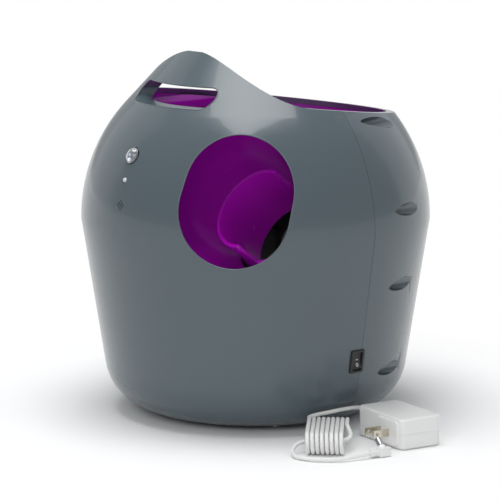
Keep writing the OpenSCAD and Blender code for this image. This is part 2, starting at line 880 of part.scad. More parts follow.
module sensor_lens() color([0.85, 0.88, 0.92, 0.6]) {
    on_dome(0, sensor_z) {
        translate([0, 0, -shell_wall - 2.2]) cylinder(r = lens_r + 2.5, h = 1.6);
        translate([0, 0, -shell_wall - 1]) cylinder(r = lens_r, h = shell_wall + 1.8);
        intersection() {
            translate([0, 0, 5.4 - (lens_r * lens_r + 25) / 10])
                sphere((lens_r * lens_r + 25) / 10);
            translate([0, 0, 0.4]) cylinder(r = lens_r, h = 10);
        }
    }
}

module status_light() color([0.9, 0.95, 0.9, 0.7]) {
    on_dome(0, led_z) {
        translate([0, 0, -9]) cylinder(r = led_r, h = 9);
        translate([0, 0, -0.2]) sphere(led_r);
    }
}

module board_bosses() {
    on_dome(0, board_z) for (s = [-1, 1]) translate([s * 15, 4, -board_depth + seat_gap])
        cylinder(r = 3, h = board_depth - seat_gap - 1);
}

board_z = 238;
board_depth = 10.5;

module sensor_board() color(board_green) {
    on_dome(0, board_z) {
        translate([-20, -18, -board_depth - 1.6]) cube([40, 36, 1.6]);
        translate([0, 9, -board_depth - 0.2]) cylinder(r = 4.6, h = 4.2);
        translate([-8, -16, -board_depth - 6]) cube([16, 6, 5]);
    }
}

module speaker_pattern() {
    for (i = [-1 : 1], j = [-1 : 1])
        translate(speaker_pitch * [i - j, i + j] / 1.4142) circle(speaker_hole_r);
}

module speaker() color(black) {
    on_dome(0, speaker_z) {
        translate([0, 0, -shell_wall - 5.4]) cylinder(r = speaker_r, h = 4);
        translate([0, 0, -shell_wall - 10]) cylinder(r = speaker_r * 0.55, h = 6);
    }
}

// ---- switch, jack and dial ----

rocker_w = 9.2;
rocker_l = 14.4;
rocker_axis = -3.5;

module switch_housing() color(black) {
    on_side(switch_az, switch_z) difference() {
        union() {
            translate([0, 0, 1]) cube([bezel_w, bezel_h, 1.8], center = true);
            translate([0, 0, -7.5]) cube([bezel_w - 2, bezel_h - 2, 17], center = true);
            for (y = [-5, 0, 5]) translate([0, y, -19]) cube([4.8, 0.8, 8], center = true);
        }
        translate([0, 0, -2]) cube([rocker_w + 0.6, rocker_l + 2.4, 11], center = true);
        translate([0, 0, rocker_axis]) rotate([0, 90, 0])
            cylinder(r = 1.25, h = bezel_w - 2.6, center = true);
    }
}

module rocker() color([0.08, 0.08, 0.085]) {
    on_side(switch_az, switch_z) translate([0, 0, rocker_axis]) rotate([-rocker_swing / 2, 0, 0]) {
        rotate([90, 0, 90]) translate([0, 0, -rocker_w / 2]) linear_extrude(rocker_w)
            polygon([[-rocker_l / 2, 5], [0, 3.6], [rocker_l / 2, 5], [rocker_l / 2 - 0.8, -1],
                [-rocker_l / 2 + 0.8, -1]]);
        rotate([0, 90, 0]) cylinder(r = 1.2, h = bezel_w - 3, center = true);
    }
}

jack_body_r = 5;
jack_depth = 6;

module power_jack() color(black) {
    on_side(jack_az, jack_z) difference() {
        union() {
            translate([0, 0, 0.2]) cylinder(r = jack_body_r + 1.5, h = 1.4);
            translate([0, 0, -13]) cylinder(r = jack_body_r, h = 13.4);
        }
        translate([0, 0, -jack_depth + 1.6]) cylinder(r = jack_r, h = jack_depth + 1);
        difference() {
            translate([0, 0, -11]) cylinder(r = jack_r + 0.4, h = 11 - jack_depth + 1.6 + 0.01);
            translate([0, 0, -12]) cylinder(r = 1, h = 12 - jack_depth - 0.4);
        }
    }
}

dial_shaft_r = 3;

module distance_dial() color(black) {
    on_side(180, dial_z) {
        difference() {
            union() {
                translate([0, 0, 0.6]) cylinder(r = dial_r, h = 3);
                translate([0, 0, 3]) cylinder(r = dial_r - 3, h = dial_h - 3);
            }
            for (i = [0 : 17]) rotate([0, 0, 20 * i]) translate([dial_r - 3, 0, 4.6])
                cylinder(r = 1.2, h = dial_h);
        }
        translate([-1.2, 2, dial_h - 0.5]) cube([2.4, dial_r - 7, 1.7]);
        translate([0, 0, -14]) cylinder(r = dial_shaft_r, h = 16);
    }
}

module dial_body() color([0.2, 0.2, 0.22]) {
    on_side(180, dial_z) difference() {
        translate([0, 0, -17]) cylinder(r = 11, h = 17 - shell_wall - 0.7);
        translate([0, 0, -14.5]) cylinder(r = dial_shaft_r + 0.05, h = 20);
    }
}

module control_board() color(board_green) {
    z = tray_top + 8;
    translate([-48, -62, z]) cube([80, 48, 1.6]);
    for (x = [-42, -24]) translate([x, -56, z + 1]) cube([15, 19, 16]);
    for (x = [0, 14]) translate([x, -50, z + 1]) cylinder(r = 5, h = 14);
    translate([-10, -34, z + 1]) cube([24, 12, 3]);
    for (x = [-40, -20, 0]) translate([x, -24, z + 1]) cube([14, 6, 8]);
}

// ---- base ----

module rounded(w, l, r) {
    square([w - 2 * r, l], center = true);
    square([w, l - 2 * r], center = true);
    for (sx = [-1, 1], sy = [-1, 1])
        translate([sx * (w / 2 - r), sy * (l / 2 - r)]) circle(r);
}

door_axis = [-door_w / 2 + 1.6, foot_h + 1.5];

module base_plate() color([0.17, 0.18, 0.19]) {
    difference() {
        union() {
            translate([0, 0, foot_h]) cylinder(r = base_hole_r - base_gap, h = 4);
            translate([0, 0, plate_top - base_flange])
                cylinder(r = foot_r + 3.8, h = base_flange);
            each_base_screw() translate([0, 0, plate_top - 1]) cylinder(r = 3.3, h = 7);
        }
        translate([0, 0, foot_h - 1]) linear_extrude(10)
            rounded(door_w + 2 * door_gap, door_l + 2 * door_gap, tray_round);
        each_base_screw() cylinder(r = screw_r + 0.1, h = plate_top + 4);
        translate([door_axis[0], 0, door_axis[1]]) rotate([90, 0, 0])
            cylinder(r = door_pin_r, h = door_l + 12, center = true);
    }
}

module battery_door() color([0.17, 0.18, 0.19]) {
    t = 3;
    difference() {
        union() {
            difference() {
                translate([0, 0, foot_h]) linear_extrude(t) rounded(door_w, door_l, tray_round);
                translate([door_axis[0] - far, -far, 0]) cube([far, 2 * far, far]);
            }
            translate([door_axis[0], 0, door_axis[1]]) rotate([90, 0, 0])
                cylinder(r = t / 2, h = door_l - 2 * tray_round, center = true);
        }
        for (s = [-1, 1]) translate([door_axis[0] + 1.6, s * door_l / 2, door_axis[1]])
            cube([3.6, 2 * tray_round, 10], center = true);
        translate([door_axis[0], 0, door_axis[1]]) rotate([90, 0, 0])
            cylinder(r = door_pin_r + 0.08, h = far, center = true);
        translate([door_w / 2 - 12, 0, foot_h - 1.8]) cylinder(r = 7, h = 3);
    }
}

module door_pin() color(steel) {
    translate([door_axis[0], 0, door_axis[1]]) rotate([90, 0, 0])
        cylinder(r = door_pin_r, h = door_l + 11, center = true);
}

module battery_tray() color(black) {
    difference() {
        union() {
            translate([0, 0, plate_top]) linear_extrude(tray_top - plate_top)
                rounded(tray_w, tray_l, tray_round);
            for (x = [-44, 28], y = [-58, -18]) translate([x, y, tray_top - 1])
                cylinder(r = 3, h = 9);
        }
        translate([0, 0, plate_top - 1]) linear_extrude(tray_top - tray_wall - plate_top + 1)
            rounded(tray_w - 2 * tray_wall, tray_l - 2 * tray_wall, tray_round - tray_wall);
    }
}

module battery_contacts() color(steel) {
    end = tray_l / 2 - tray_wall;
    middle = plate_top + 1.5 + cell_d / 2;
    for (s = [-1, 1], i = [-1 : 1]) translate([i * (cell_d + 0.4), s * (end - 0.4), middle]) {
        cube([i == 0 ? 16 : 12, 0.8, 16], center = true);
        rotate([s * 90, 0, 0]) cylinder(r1 = 5, r2 = 3, h = 1.5);
    }
}

module rubber_feet() color(black) {
    for (p = [[72, 26], [-72, 26], [-72, -26], [72, -26], [0, 77], [0, -77]])
        translate([p[0], p[1], 0]) cylinder(r = pad_r, h = foot_h);
}

module base_screws() color(steel) {
    each_base_screw() translate([0, 0, foot_h]) screw(9);
}

// ---- power adapter with its cord, lying in front ----

adapter_at = [186, 6, 0];
adapter_turn = -10;
relief_z = 17;
relief_y = 4;
relief_len = 10;
blade_gap = 12.7;
hank_at = [164, -60, 0];
hank_turn = 45;
plug_at = [39, 37, 4];

module at_adapter() {
    translate(adapter_at) rotate([0, 0, adapter_turn]) children();
}

module adapter_body() color("white") {
    at_adapter() {
        linear_extrude(adapter_h) rounded(adapter_l, adapter_w, 5);
        translate([14.5, -adapter_w / 2 + 1, adapter_h / 2]) rotate([90, 0, 0])
            linear_extrude(3) rounded(33, adapter_h - 5, 5);
    }
}

module adapter_blades() color([0.75, 0.72, 0.65]) {
    at_adapter() for (s = [0, 1]) translate([5 + s * blade_gap, -adapter_w / 2 - 2, 13])
        difference() {
            translate([-0.75, -16, -3.2]) cube([1.5, 16, 6.4]);
            translate([0, -12.5, 0]) rotate([0, 90, 0]) cylinder(r = 1.5, h = 4, center = true);
        }
}

module strain_relief() color("white") {
    at_adapter() translate([-adapter_l / 2, relief_y, relief_z]) rotate([0, -90, 0]) {
        cylinder(r = cord_r + 1, h = relief_len);
        for (i = [0 : 3]) translate([0, 0, 2.6 * i]) cylinder(r = 3.8 - 0.25 * i, h = 1.6);
    }
}

// From the strain relief to the hank, on the floor's own axes
lead_bend = [[135, 12, 18.5], [133.4, 3, 20], [133, -7, 20.5], [132.3, -17, 20.5],
    [131, -27, 20], [127.5, -37, 19]];

// From the hank to the plug, on the hank's own axes: across, towards the front, and up
tail_bend = [[18.5, -1, 17.2], [20.5, 6, 14.8], [20.3, 13, 12], [15, 17.5, 10.4], [7, 18.5, 10],
    [-3, 18.5, 10], [-13, 19, 10], [-21, 21, 9.2], [-26.5, 27, 7], [-28, 35, 4.2],
    [-25, 43, 2.2], [-18, 49, 2], [-8, 52.5, 2], [3, 53.5, 2], [14, 51.5, 2.2], [24, 47, 3]];

function on_adapter(p) = let (a = adapter_turn)
    adapter_at + [p[0] * cos(a) - p[1] * sin(a), p[0] * sin(a) + p[1] * cos(a), p[2]];
function on_hank(p) = let (a = hank_turn)
    hank_at + [p[0] * cos(a) + p[1] * sin(a), p[0] * sin(a) - p[1] * cos(a), p[2]];

// Places along one loop, from 0 to 23: over the top, round the near end, back and up again
function loop_point(j) =
    let (side = j < 12 ? 1 : -1, k = j % 12, a = side * 90 - (k - 4) * 22.5)
    k < 4 ? [side * hank_run * (k / 2 - 1), side * hank_bend]
        : [side * hank_run + hank_bend * cos(a), hank_bend * sin(a)];

function hank_point(i) =
    let (q = loop_point(i % 24), middle_z = cord_r + 0.1 + hank_bend)
    [hank_pitch * (i / 24 - hank_loops / 2), q[0], middle_z + q[1]];

hank_rings = 24 * hank_loops + 1;
hank_start = hank_point(0) - [0, 2 * cord_r + 0.4, 0];
hank_route = concat([hank_start], [for (i = [0 : hank_rings]) hank_point(i)]);
hank_finish = hank_route[len(hank_route) - 1];
plug_dir = let (a = adapter_turn - hank_turn) [-sin(a), -cos(a), 0];

lead_from = on_adapter([-adapter_l / 2 - relief_len, relief_y, relief_z]);
lead_out = on_adapter([-adapter_l / 2 - relief_len - 4, relief_y, relief_z]);
lead_route = concat([lead_from, lead_out], lead_bend,
    [on_hank(hank_start - [0, 4, 0]), on_hank(hank_start)]);
hank_last = unit(hank_finish - hank_route[len(hank_route) - 2]);
tail_route = [for (p = concat([hank_finish, hank_finish + 4 * hank_last], tail_bend,
    [plug_at - 4.5 * plug_dir, plug_at])) on_hank(p)];

function unit(v) = v / norm(v);

// Direction of the tube at each ring; the end rings stand square to their first and last run
function ring_dir(route, i) =
    i == 0 ? unit(route[1] - route[0])
    : i == len(route) - 1 ? unit(route[i] - route[i - 1])
    : unit(unit(route[i + 1] - route[i]) + unit(route[i] - route[i - 1]));

module tube(route, sides, side_dir) {
    n = len(route);
    square_to = function(v, d) unit(v - (v * d) * d);
    across = [for (i = 0, a = square_to(side_dir, ring_dir(route, 0)); i < n;
        i = i + 1, a = i < n ? square_to(a, ring_dir(route, i)) : a) a];
    points = [for (i = [0 : n - 1]) let (d = ring_dir(route, i), b = cross(d, across[i]))
        for (k = [0 : sides - 1]) let (t = 360 * k / sides)
            route[i] + cord_r * (across[i] * cos(t) + b * sin(t))];
    walls = [for (i = [0 : n - 2], k = [0 : sides - 1])
        let (a = i * sides + k, b = i * sides + (k + 1) % sides)
        each [[a, b + sides, b], [a, a + sides, b + sides]]];
    last = (n - 1) * sides;
    ends = [for (k = [1 : sides - 2]) each [[0, k, k + 1], [last, last + k + 1, last + k]]];
    polyhedron(points, concat(walls, ends));
}

module cord_lead() color("white") {
    tube(lead_route, 8, [0, 0, 1]);
}

module cord_hank() color("white") {
    tube([for (p = hank_route) on_hank(p)], 6, [cos(hank_turn), sin(hank_turn), 0]);
    gap = min([for (i = [0 : hank_rings - 12]) min([for (j = [i + 12 : hank_rings])
        norm(hank_point(i) - hank_point(j))])]) - 2 * cord_r;
    echo(least_gap_in_hank = gap);
}

module cord_tail() color("white") {
    tube(tail_route, 8, [0, 0, 1]);
}

module barrel_plug() color("white") {
    translate(on_hank(plug_at)) rotate([0, 0, adapter_turn]) {
        rotate([-90, 0, 0]) cylinder(r = cord_r + 1, h = 8);
        for (i = [0 : 2]) translate([0, 0.4 + 2.6 * i, 0]) rotate([-90, 0, 0])
            cylinder(r = 3.6, h = 1.6);
        translate([-4, 7.4, -4]) cube([8, 12, 8]);
        translate([0, 13.4, 0]) rotate([0, -45, 0]) difference() {
            cylinder(r = jack_r - 0.05, h = 13.5);
            translate([0, 0, 6]) cylinder(r = 1.1, h = 8);
        }
    }
}

front_shell();
rear_shell();
ball_bucket();
launch_bowl();
nozzle();
nozzle_pins();
launch_barrel();
plunger();
launch_spring();
sector_gear();
drive_shaft();
shaft_bush();
gear_motor();
drive_frame();
barrel_cradle();
feed_chute();
ball_lever();
lever_pin();
lever_switch();
sensor_lens();
status_light();
sensor_board();
speaker();
switch_housing();
rocker();
power_jack();
distance_dial();
dial_body();
control_board();
battery_tray();
battery_contacts();
base_plate();
battery_door();
door_pin();
rubber_feet();
shell_screws();
base_screws();
adapter_body();
adapter_blades();
strain_relief();
cord_lead();
cord_hank();
cord_tail();
barrel_plug();
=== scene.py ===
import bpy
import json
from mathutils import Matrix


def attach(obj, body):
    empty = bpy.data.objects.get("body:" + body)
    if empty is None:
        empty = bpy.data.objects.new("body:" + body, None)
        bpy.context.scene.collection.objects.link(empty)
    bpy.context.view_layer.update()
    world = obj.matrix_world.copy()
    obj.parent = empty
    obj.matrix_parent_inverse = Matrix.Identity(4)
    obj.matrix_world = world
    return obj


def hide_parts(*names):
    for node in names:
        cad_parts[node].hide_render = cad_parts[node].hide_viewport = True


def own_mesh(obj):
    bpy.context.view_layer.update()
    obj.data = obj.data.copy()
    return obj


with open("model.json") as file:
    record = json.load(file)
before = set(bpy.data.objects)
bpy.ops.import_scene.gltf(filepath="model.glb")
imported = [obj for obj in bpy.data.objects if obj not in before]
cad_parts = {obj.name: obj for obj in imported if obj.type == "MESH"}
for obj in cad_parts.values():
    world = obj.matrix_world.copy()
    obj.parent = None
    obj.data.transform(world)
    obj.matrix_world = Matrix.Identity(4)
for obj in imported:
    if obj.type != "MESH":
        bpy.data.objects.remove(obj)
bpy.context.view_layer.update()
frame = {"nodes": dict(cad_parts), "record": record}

import json
import math
import bmesh
import bpy
import numpy as np
from mathutils import Vector

mm = 0.001
nodes = frame["nodes"]

# the camera, at the photograph's angle
photoCamera = {"place": (1.9139, -1.6638, 0.5959), "azimuth": 49.0, "pitch": 10.07,
               "lens": 201.3, "sensor": 36.0, "shiftX": -0.011, "clip": (0.05, 60)}


def addCamera(c):
    data = bpy.data.cameras.new("photoCamera")
    data.lens, data.sensor_width, data.shift_x = c["lens"], c["sensor"], c["shiftX"]
    data.clip_start, data.clip_end = c["clip"]
    camera = bpy.data.objects.new("photoCamera", data)
    bpy.context.scene.collection.objects.link(camera)
    a, p = math.radians(c["azimuth"]), math.radians(c["pitch"])
    camera.location = c["place"]
    camera.rotation_euler = (math.pi / 2 - p, 0, a)
    bpy.context.scene.camera = camera


addCamera(photoCamera)
print("camera placed")


# the body's outline, and frames of places on it: columns x, y, outwards and place
bodyForm = {"radius": 0.160, "creaseZ": 0.178, "domeR": 0.1546, "hoodAngle": 42.8,
            "footR": 0.0915, "footH": 0.0025, "fillet": 0.048}


def rotX(deg):
    c, s = math.cos(math.radians(deg)), math.sin(math.radians(deg))
    return np.array([[1, 0, 0, 0], [0, c, -s, 0], [0, s, c, 0], [0, 0, 0, 1.0]])


def rotY(deg):
    c, s = math.cos(math.radians(deg)), math.sin(math.radians(deg))
    return np.array([[c, 0, s, 0], [0, 1, 0, 0], [-s, 0, c, 0], [0, 0, 0, 1.0]])


def rotZ(deg):
    c, s = math.cos(math.radians(deg)), math.sin(math.radians(deg))
    return np.array([[c, -s, 0, 0], [s, c, 0, 0], [0, 0, 1, 0], [0, 0, 0, 1.0]])


def shift(x, y, z):
    m = np.eye(4)
    m[:3, 3] = x, y, z
    return m


def sideSlope(b=bodyForm):
    # the straight side touches the bottom fillet and ends at the crease
    dx, dz = b["radius"] - b["footR"], b["creaseZ"] - b["footH"] - b["fillet"]
    a = math.atan2(dz, dx) - math.acos(b["fillet"] / math.hypot(dx, dz))
    foot = (b["footR"] + b["fillet"] * math.cos(a), b["footH"] + b["fillet"] * (1 + math.sin(a)))
    return (b["radius"] - foot[0]) / (b["creaseZ"] - foot[1])


def bodyRadius(z, b=bodyForm):
    # outside radius of the body at height z: straight side, then the dome's arc, then the
    # straight hood
    z = np.asarray(z, float)
    side = b["radius"] - (b["creaseZ"] - z) * sideSlope()
    lift = np.clip((z - b["creaseZ"]) / b["domeR"], 0, 0.999)
    dome = b["radius"] - b["domeR"] + b["domeR"] * np.sqrt(1 - lift ** 2)
    a = math.radians(b["hoodAngle"])
    topR = b["radius"] - b["domeR"] + b["domeR"] * math.cos(a)
    topZ = b["creaseZ"] + b["domeR"] * math.sin(a)
    hood = topR - (z - topZ) * math.tan(a)
    return np.where(z < b["creaseZ"], side, np.where(z < topZ, dome, hood))


def sideFrame(azimuth, z):
    tilt = 90 + math.degrees(math.atan(sideSlope()))
    return rotZ(azimuth) @ shift(0, -float(bodyRadius(z)), z) @ rotX(tilt)


def domeFrame(azimuth, z, b=bodyForm):
    lift = math.degrees(math.asin((z - b["creaseZ"]) / b["domeR"]))
    return rotZ(azimuth) @ shift(0, -float(bodyRadius(z)), z) @ rotX(90 - lift)


def moved(points, m):
    p = np.asarray(points, float)
    return p @ m[:3, :3].T + m[:3, 3]


# surfaces from arrays
def newPiece(name, verts, faces, smooth=35):
    mesh = bpy.data.meshes.new(name)
    mesh.from_pydata(np.asarray(verts, float).reshape(-1, 3).tolist(), [], faces)
    mesh.update()
    mesh.polygons.foreach_set("use_smooth", np.ones(len(mesh.polygons), bool))
    mesh.set_sharp_from_angle(angle=math.radians(smooth))
    piece = bpy.data.objects.new(name, mesh)
    bpy.context.scene.collection.objects.link(piece)
    return piece


def gridFaces(rows, cols, start=0, aroundCols=True, aroundRows=False):
    # quads of a grid: point (i, j) joins (i + 1, j) and (i, j + 1), closed round where asked
    i = np.arange(rows if aroundRows else rows - 1)
    j = np.arange(cols if aroundCols else cols - 1)
    i, j = np.meshgrid(i, j, indexing="ij")
    a = start + i * cols + j
    b = start + i * cols + (j + 1) % cols
    c = start + ((i + 1) % rows) * cols + (j + 1) % cols
    d = start + ((i + 1) % rows) * cols + j
    return np.stack([a, b, c, d], -1).reshape(-1, 4).tolist()


def loftParts(rings, close=True):
    # rings of points, row after row, joined by quads, with a flat face over each end
    rings = np.asarray(rings, float)
    rows, cols = rings.shape[:2]
    faces = gridFaces(rows, cols)
    if close:
        faces += [list(range(cols))[::-1], list(range((rows - 1) * cols, rows * cols))]
    return rings.reshape(-1, 3), faces


def joined(parts):
    # several (points, faces) put into one mesh
    verts, faces, base = [], [], 0
    for v, f in parts:
        verts.append(np.asarray(v, float).reshape(-1, 3))
        faces += [[k + base for k in face] for face in f]
        base += len(verts[-1])
    return np.vstack(verts), faces


def latheParts(profile, place=None, sides=64):
    # a profile of (radius, height) pairs turned round +Z: x = r cos t, y = r sin t
    profile = np.asarray(profile, float)
    t = np.linspace(0, 2 * math.pi, sides, endpoint=False)
    r, h = profile[:, :1], profile[:, 1:]
    rings = np.stack([r * np.cos(t), r * np.sin(t), h + 0 * t], -1)
    v, f = loftParts(rings)
    return (moved(v, place) if place is not None else v), f


def slabParts(width, depth, height, corner, edge, place=None, arc=6, steps=4, bottomEdge=None):
    # a slab on a rounded rectangle whose outline pulls in by a quarter round at its top and
    # bottom edges
    bottomEdge = edge if bottomEdge is None else bottomEdge
    q = np.linspace(0, math.pi / 2, steps + 1)
    low = [(bottomEdge * (1 - math.sin(a)), bottomEdge * (1 - math.cos(a))) for a in q]
    high = [(edge * (1 - math.cos(a)), height - edge * (1 - math.sin(a))) for a in q]
    rings = []
    for inset, z in low + high:
        rings.append(roundedOutline(width - 2 * inset, depth - 2 * inset,
                                    max(corner - inset, 1e-5), z, arc))
    v, f = loftParts(np.array(rings))
    return (moved(v, place) if place is not None else v), f


def roundedOutline(width, depth, corner, z, arc=6):
    # points of a rounded rectangle: four corner arcs of the given radius, one after the other
    a = np.linspace(0, math.pi / 2, arc + 1)
    out = []
    for k, (sx, sy) in enumerate([(1, 1), (-1, 1), (-1, -1), (1, -1)]):
        t = a + k * math.pi / 2
        out.append(np.stack([sx * (width / 2 - corner) + corner * np.cos(t),
                             sy * (depth / 2 - corner) + corner * np.sin(t),
                             np.full(arc + 1, z)], -1))
    return np.vstack(out)


def catmullRom(points, pieces=4):
    # a smooth curve through every point: between two neighbours it blends their tangents, a cubic
    # in t
    p = np.asarray(points, float)
    p = np.vstack([2 * p[0] - p[1], p, 2 * p[-1] - p[-2]])
    t = np.linspace(0, 1, pieces, endpoint=False)[None, :, None]
    a, b, c, d = (p[k:len(p) - 3 + k, None, :] for k in range(4))
    curve = 0.5 * (2 * b + (c - a) * t + (2 * a - 5 * b + 4 * c - d) * t ** 2
                   + (3 * b - a - 3 * c + d) * t ** 3)
    return np.vstack([curve.reshape(-1, 3), p[-2]])


def unitRows(v):
    return v / np.linalg.norm(v, axis=-1, keepdims=True)


def tubeParts(path, radius, sides=14, around=(0, 0, 1)):
    # a round tube: each ring stands square to the path, and its first direction is carried along
    # from ring to ring
    path = np.asarray(path, float)
    tangent = unitRows(np.gradient(path, axis=0))
    across = np.empty_like(path)
    last = np.asarray(around, float)
    for k, d in enumerate(tangent):
        last = last - (last @ d) * d
        last = last / np.linalg.norm(last)
        across[k] = last
    beside = np.cross(tangent, across)
    t = np.linspace(0, 2 * math.pi, sides, endpoint=False)[None, :, None]
    radius = np.broadcast_to(np.asarray(radius, float), (len(path),))[:, None, None]
    spokes = across[:, None, :] * np.cos(t) + beside[:, None, :] * np.sin(t)
    rings = path[:, None, :] + radius * spokes
    return loftParts(rings)


# the power cord, in metres here and millimetres in the hank, and what hangs on it
adapter = {"place": (0.186, 0.006, 0), "turn": -10,
           "length": 0.070, "width": 0.042, "height": 0.027,
           "reliefY": 0.004, "reliefZ": 0.017, "reliefLength": 0.010, "leadOut": 0.004}
hank = {"place": (0.164, -0.060, 0), "turn": 45, "loops": 8, "pitch": 4.2, "run": 26.8, "bend": 8.2,
        "cordR": 1.8, "lift": 0.1, "startGap": 0.4, "steps": 24, "runSteps": 4,
        "leadIn": 4, "tailOut": 4, "plugOut": 4.5, "plug": (39, 37, 4)}
leadBend = [(135, 12, 18.5), (133.4, 3, 20), (133, -7, 20.5), (132.3, -17, 20.5), (131, -27, 20),
            (127.5, -37, 19)]
tailBend = [(18.5, -1, 17.2), (20.5, 6, 14.8), (20.3, 13, 12), (15, 17.5, 10.4), (7, 18.5, 10),
            (-3, 18.5, 10), (-13, 19, 10), (-21, 21, 9.2), (-26.5, 27, 7), (-28, 35, 4.2),
            (-25, 43, 2.2), (-18, 49, 2), (-8, 52.5, 2), (3, 53.5, 2), (14, 51.5, 2.2), (24, 47, 3)]
adapterFrame = shift(*adapter["place"]) @ rotZ(adapter["turn"])
hankFrame = shift(*hank["place"]) @ rotZ(hank["turn"]) @ np.diag([1, -1, 1, 1.0])


def hankRoute(h):
    # flat loops side by side: four steps over the top run, eight round the near bend, and the
    # same back
    half, run = h["steps"] // 2, h["runSteps"]
    i = np.arange(h["steps"] * h["loops"] + 2)
    side = np.where(i % h["steps"] < half, 1, -1)
    k = i % half
    a = np.radians(side * 90 - (k - run) * 180 / (half - run))
    y = np.where(k < run, side * h["run"] * (k / (run / 2) - 1),
                 side * h["run"] + h["bend"] * np.cos(a))
    z = np.where(k < run, side * h["bend"], h["bend"] * np.sin(a))
    route = np.stack([h["pitch"] * (i / h["steps"] - h["loops"] / 2), y,
                      h["cordR"] + h["lift"] + h["bend"] + z], -1)
    return np.vstack([route[0] - (0, 2 * h["cordR"] + h["startGap"], 0), route])


def cordRoute(case, h):
    # the whole cord in metres: strain relief, lead, hank, tail and plug, through the same points
    # as the solids
    outX = -case["length"] / 2 - case["reliefLength"]
    out = moved([(outX, case["reliefY"], case["reliefZ"]),
                 (outX - case["leadOut"], case["reliefY"], case["reliefZ"])], adapterFrame)
    inner = hankRoute(h)
    a = math.radians(case["turn"] - h["turn"])
    plugDir = np.array([-math.sin(a), -math.cos(a), 0])
    last = inner[-1] - inner[-2]
    tail = np.vstack([inner[-1] + h["tailOut"] * last / np.linalg.norm(last), tailBend,
                      np.array(h["plug"]) - h["plugOut"] * plugDir, h["plug"]])
    lead = inner[:1] - (0, h["leadIn"], 0)
    return np.vstack([out, np.array(leadBend) * mm, moved(lead * mm, hankFrame),
                      moved(inner * mm, hankFrame), moved(tail * mm, hankFrame)])


cordPath = catmullRom(cordRoute(adapter, hank))
verts, faces = tubeParts(cordPath, hank["cordR"] * mm)
powerCord = newPiece("powerCord", verts, faces, 60)


relief = {"length": 0.0102, "wide": 0.0038, "narrow": 0.0029, "ribs": 4, "groove": 0.0009,
          "bore": 0.0018, "sunk": 0.0002}


def ribbedParts(s, place, sides=40):
    # a tapered sleeve with rounded ribs: the radius falls from wide to narrow and dips between ribs
    h = np.linspace(0, s["length"], s["ribs"] * 10 + 1)
    ripple = 0.5 - 0.5 * np.cos(2 * math.pi * s["ribs"] * h / s["length"])
    r = s["wide"] + (s["narrow"] - s["wide"]) * h / s["length"]
    r = r - s["groove"] * (1 - np.clip(1.8 * ripple, 0, 1))
    profile = np.vstack([[(s["bore"], 0)], np.stack([r, h], -1), [(s["bore"], s["length"])]])
    return latheParts(profile, place, sides)


reliefFrame = adapterFrame @ shift(-adapter["length"] / 2 + relief["sunk"], adapter["reliefY"],
                                   adapter["reliefZ"]) @ rotY(-90)
strainRelief = newPiece("strainRelief", *ribbedParts(relief, reliefFrame), 50)

plug = {"grip": {"length": 0.0078, "wide": 0.0036, "narrow": 0.0034, "ribs": 3, "groove": 0.0008,
                 "bore": 0.0018},
        "block": (0.008, 0.012, 0.008), "corner": 0.0016, "edge": 0.0012, "blockAt": 0.0134,
        "lean": -45, "neckR": 0.0037, "neck": (0.002, 0.0052, 0.0056), "neckTop": (0.0033, 0.0028)}
sleeve = {"r": 0.00275, "length": 0.0135, "from": 0.0035, "edge": 0.0004, "lip": 0.0006,
          "ringR": 0.0020, "boreR": 0.0012, "innerR": 0.0011, "innerTo": 0.007}
plugFrame = shift(*moved([np.array(hank["plug"]) * mm], hankFrame)[0]) @ rotZ(adapter["turn"])
plugTurn = plugFrame @ shift(0, plug["blockAt"], 0) @ rotY(plug["lean"])


def plugParts(p):
    # a ribbed grip, a block behind it, and the neck that carries the sleeve at a right angle
    grip = ribbedParts(p["grip"], plugFrame @ rotX(-90))
    block = slabParts(*p["block"], p["corner"], p["edge"],
                      plugFrame @ shift(0, p["blockAt"], -p["block"][2] / 2))
    low, mid, high = p["neck"]
    wide, narrow = p["neckTop"]
    neck = latheParts([(0, low), (p["neckR"], low), (p["neckR"], mid), (wide, high),
                       (narrow, high), (0, high)], plugTurn, 40)
    return joined([grip, block, neck])


def sleeveParts(s):
    # the contact sleeve, with a ring inside its open end and a bore down to innerTo
    r, end, step = s["r"], s["length"], s["edge"]
    inner = s["innerR"]
    return latheParts(
        [(0, s["from"]), (r, s["from"]), (r, end - step), (r - 0.0003, end), (r - s["lip"], end),
         (r - s["lip"], end - 0.001), (s["ringR"], end - 0.001), (s["ringR"], end - step),
         (s["boreR"], end - step), (inner, end - 0.0012), (inner, s["innerTo"]), (0, s["innerTo"])],
        plugTurn, 40)


barrelPlug = newPiece("barrelPlug", *plugParts(plug), 45)
barrelSleeve = newPiece("barrelSleeve", *sleeveParts(sleeve), 40)
print("cord and plug made")


# shader groups, and the values that all materials made with them share
moulded = {"speckScale": 420.0, "speckFrom": 0.73, "dustColor": (0.75, 0.75, 0.72, 1),
           "dustRough": 4.0, "swing": 2.0}
worked = {"stainScale": 60.0, "swing": 2.0, "lineRough": 0.25}
effectOutputs = [("Color", "NodeSocketColor"), ("Roughness", "NodeSocketFloat"),
                 ("Height", "NodeSocketFloat")]


def newGroup(name, inputs, outputs):
    group = bpy.data.node_groups.new(name, "ShaderNodeTree")
    for label, kind, value in inputs:
        socket = group.interface.new_socket(label, in_out="INPUT", socket_type=kind)
        socket.default_value = value
    for label, kind in outputs:
        group.interface.new_socket(label, in_out="OUTPUT", socket_type=kind)
    into, out = group.nodes.new("NodeGroupInput"), group.nodes.new("NodeGroupOutput")
    return group, into, out


def mathNode(tree, kind, a, b=None, clamp=False):
    node = tree.nodes.new("ShaderNodeMath")
    node.operation, node.use_clamp = kind, clamp
    for socket, value in zip(node.inputs, (a, b)):
        if isinstance(value, (int, float)):
            socket.default_value = value
        elif value is not None:
            tree.links.new(value, socket)
    return node.outputs[0]


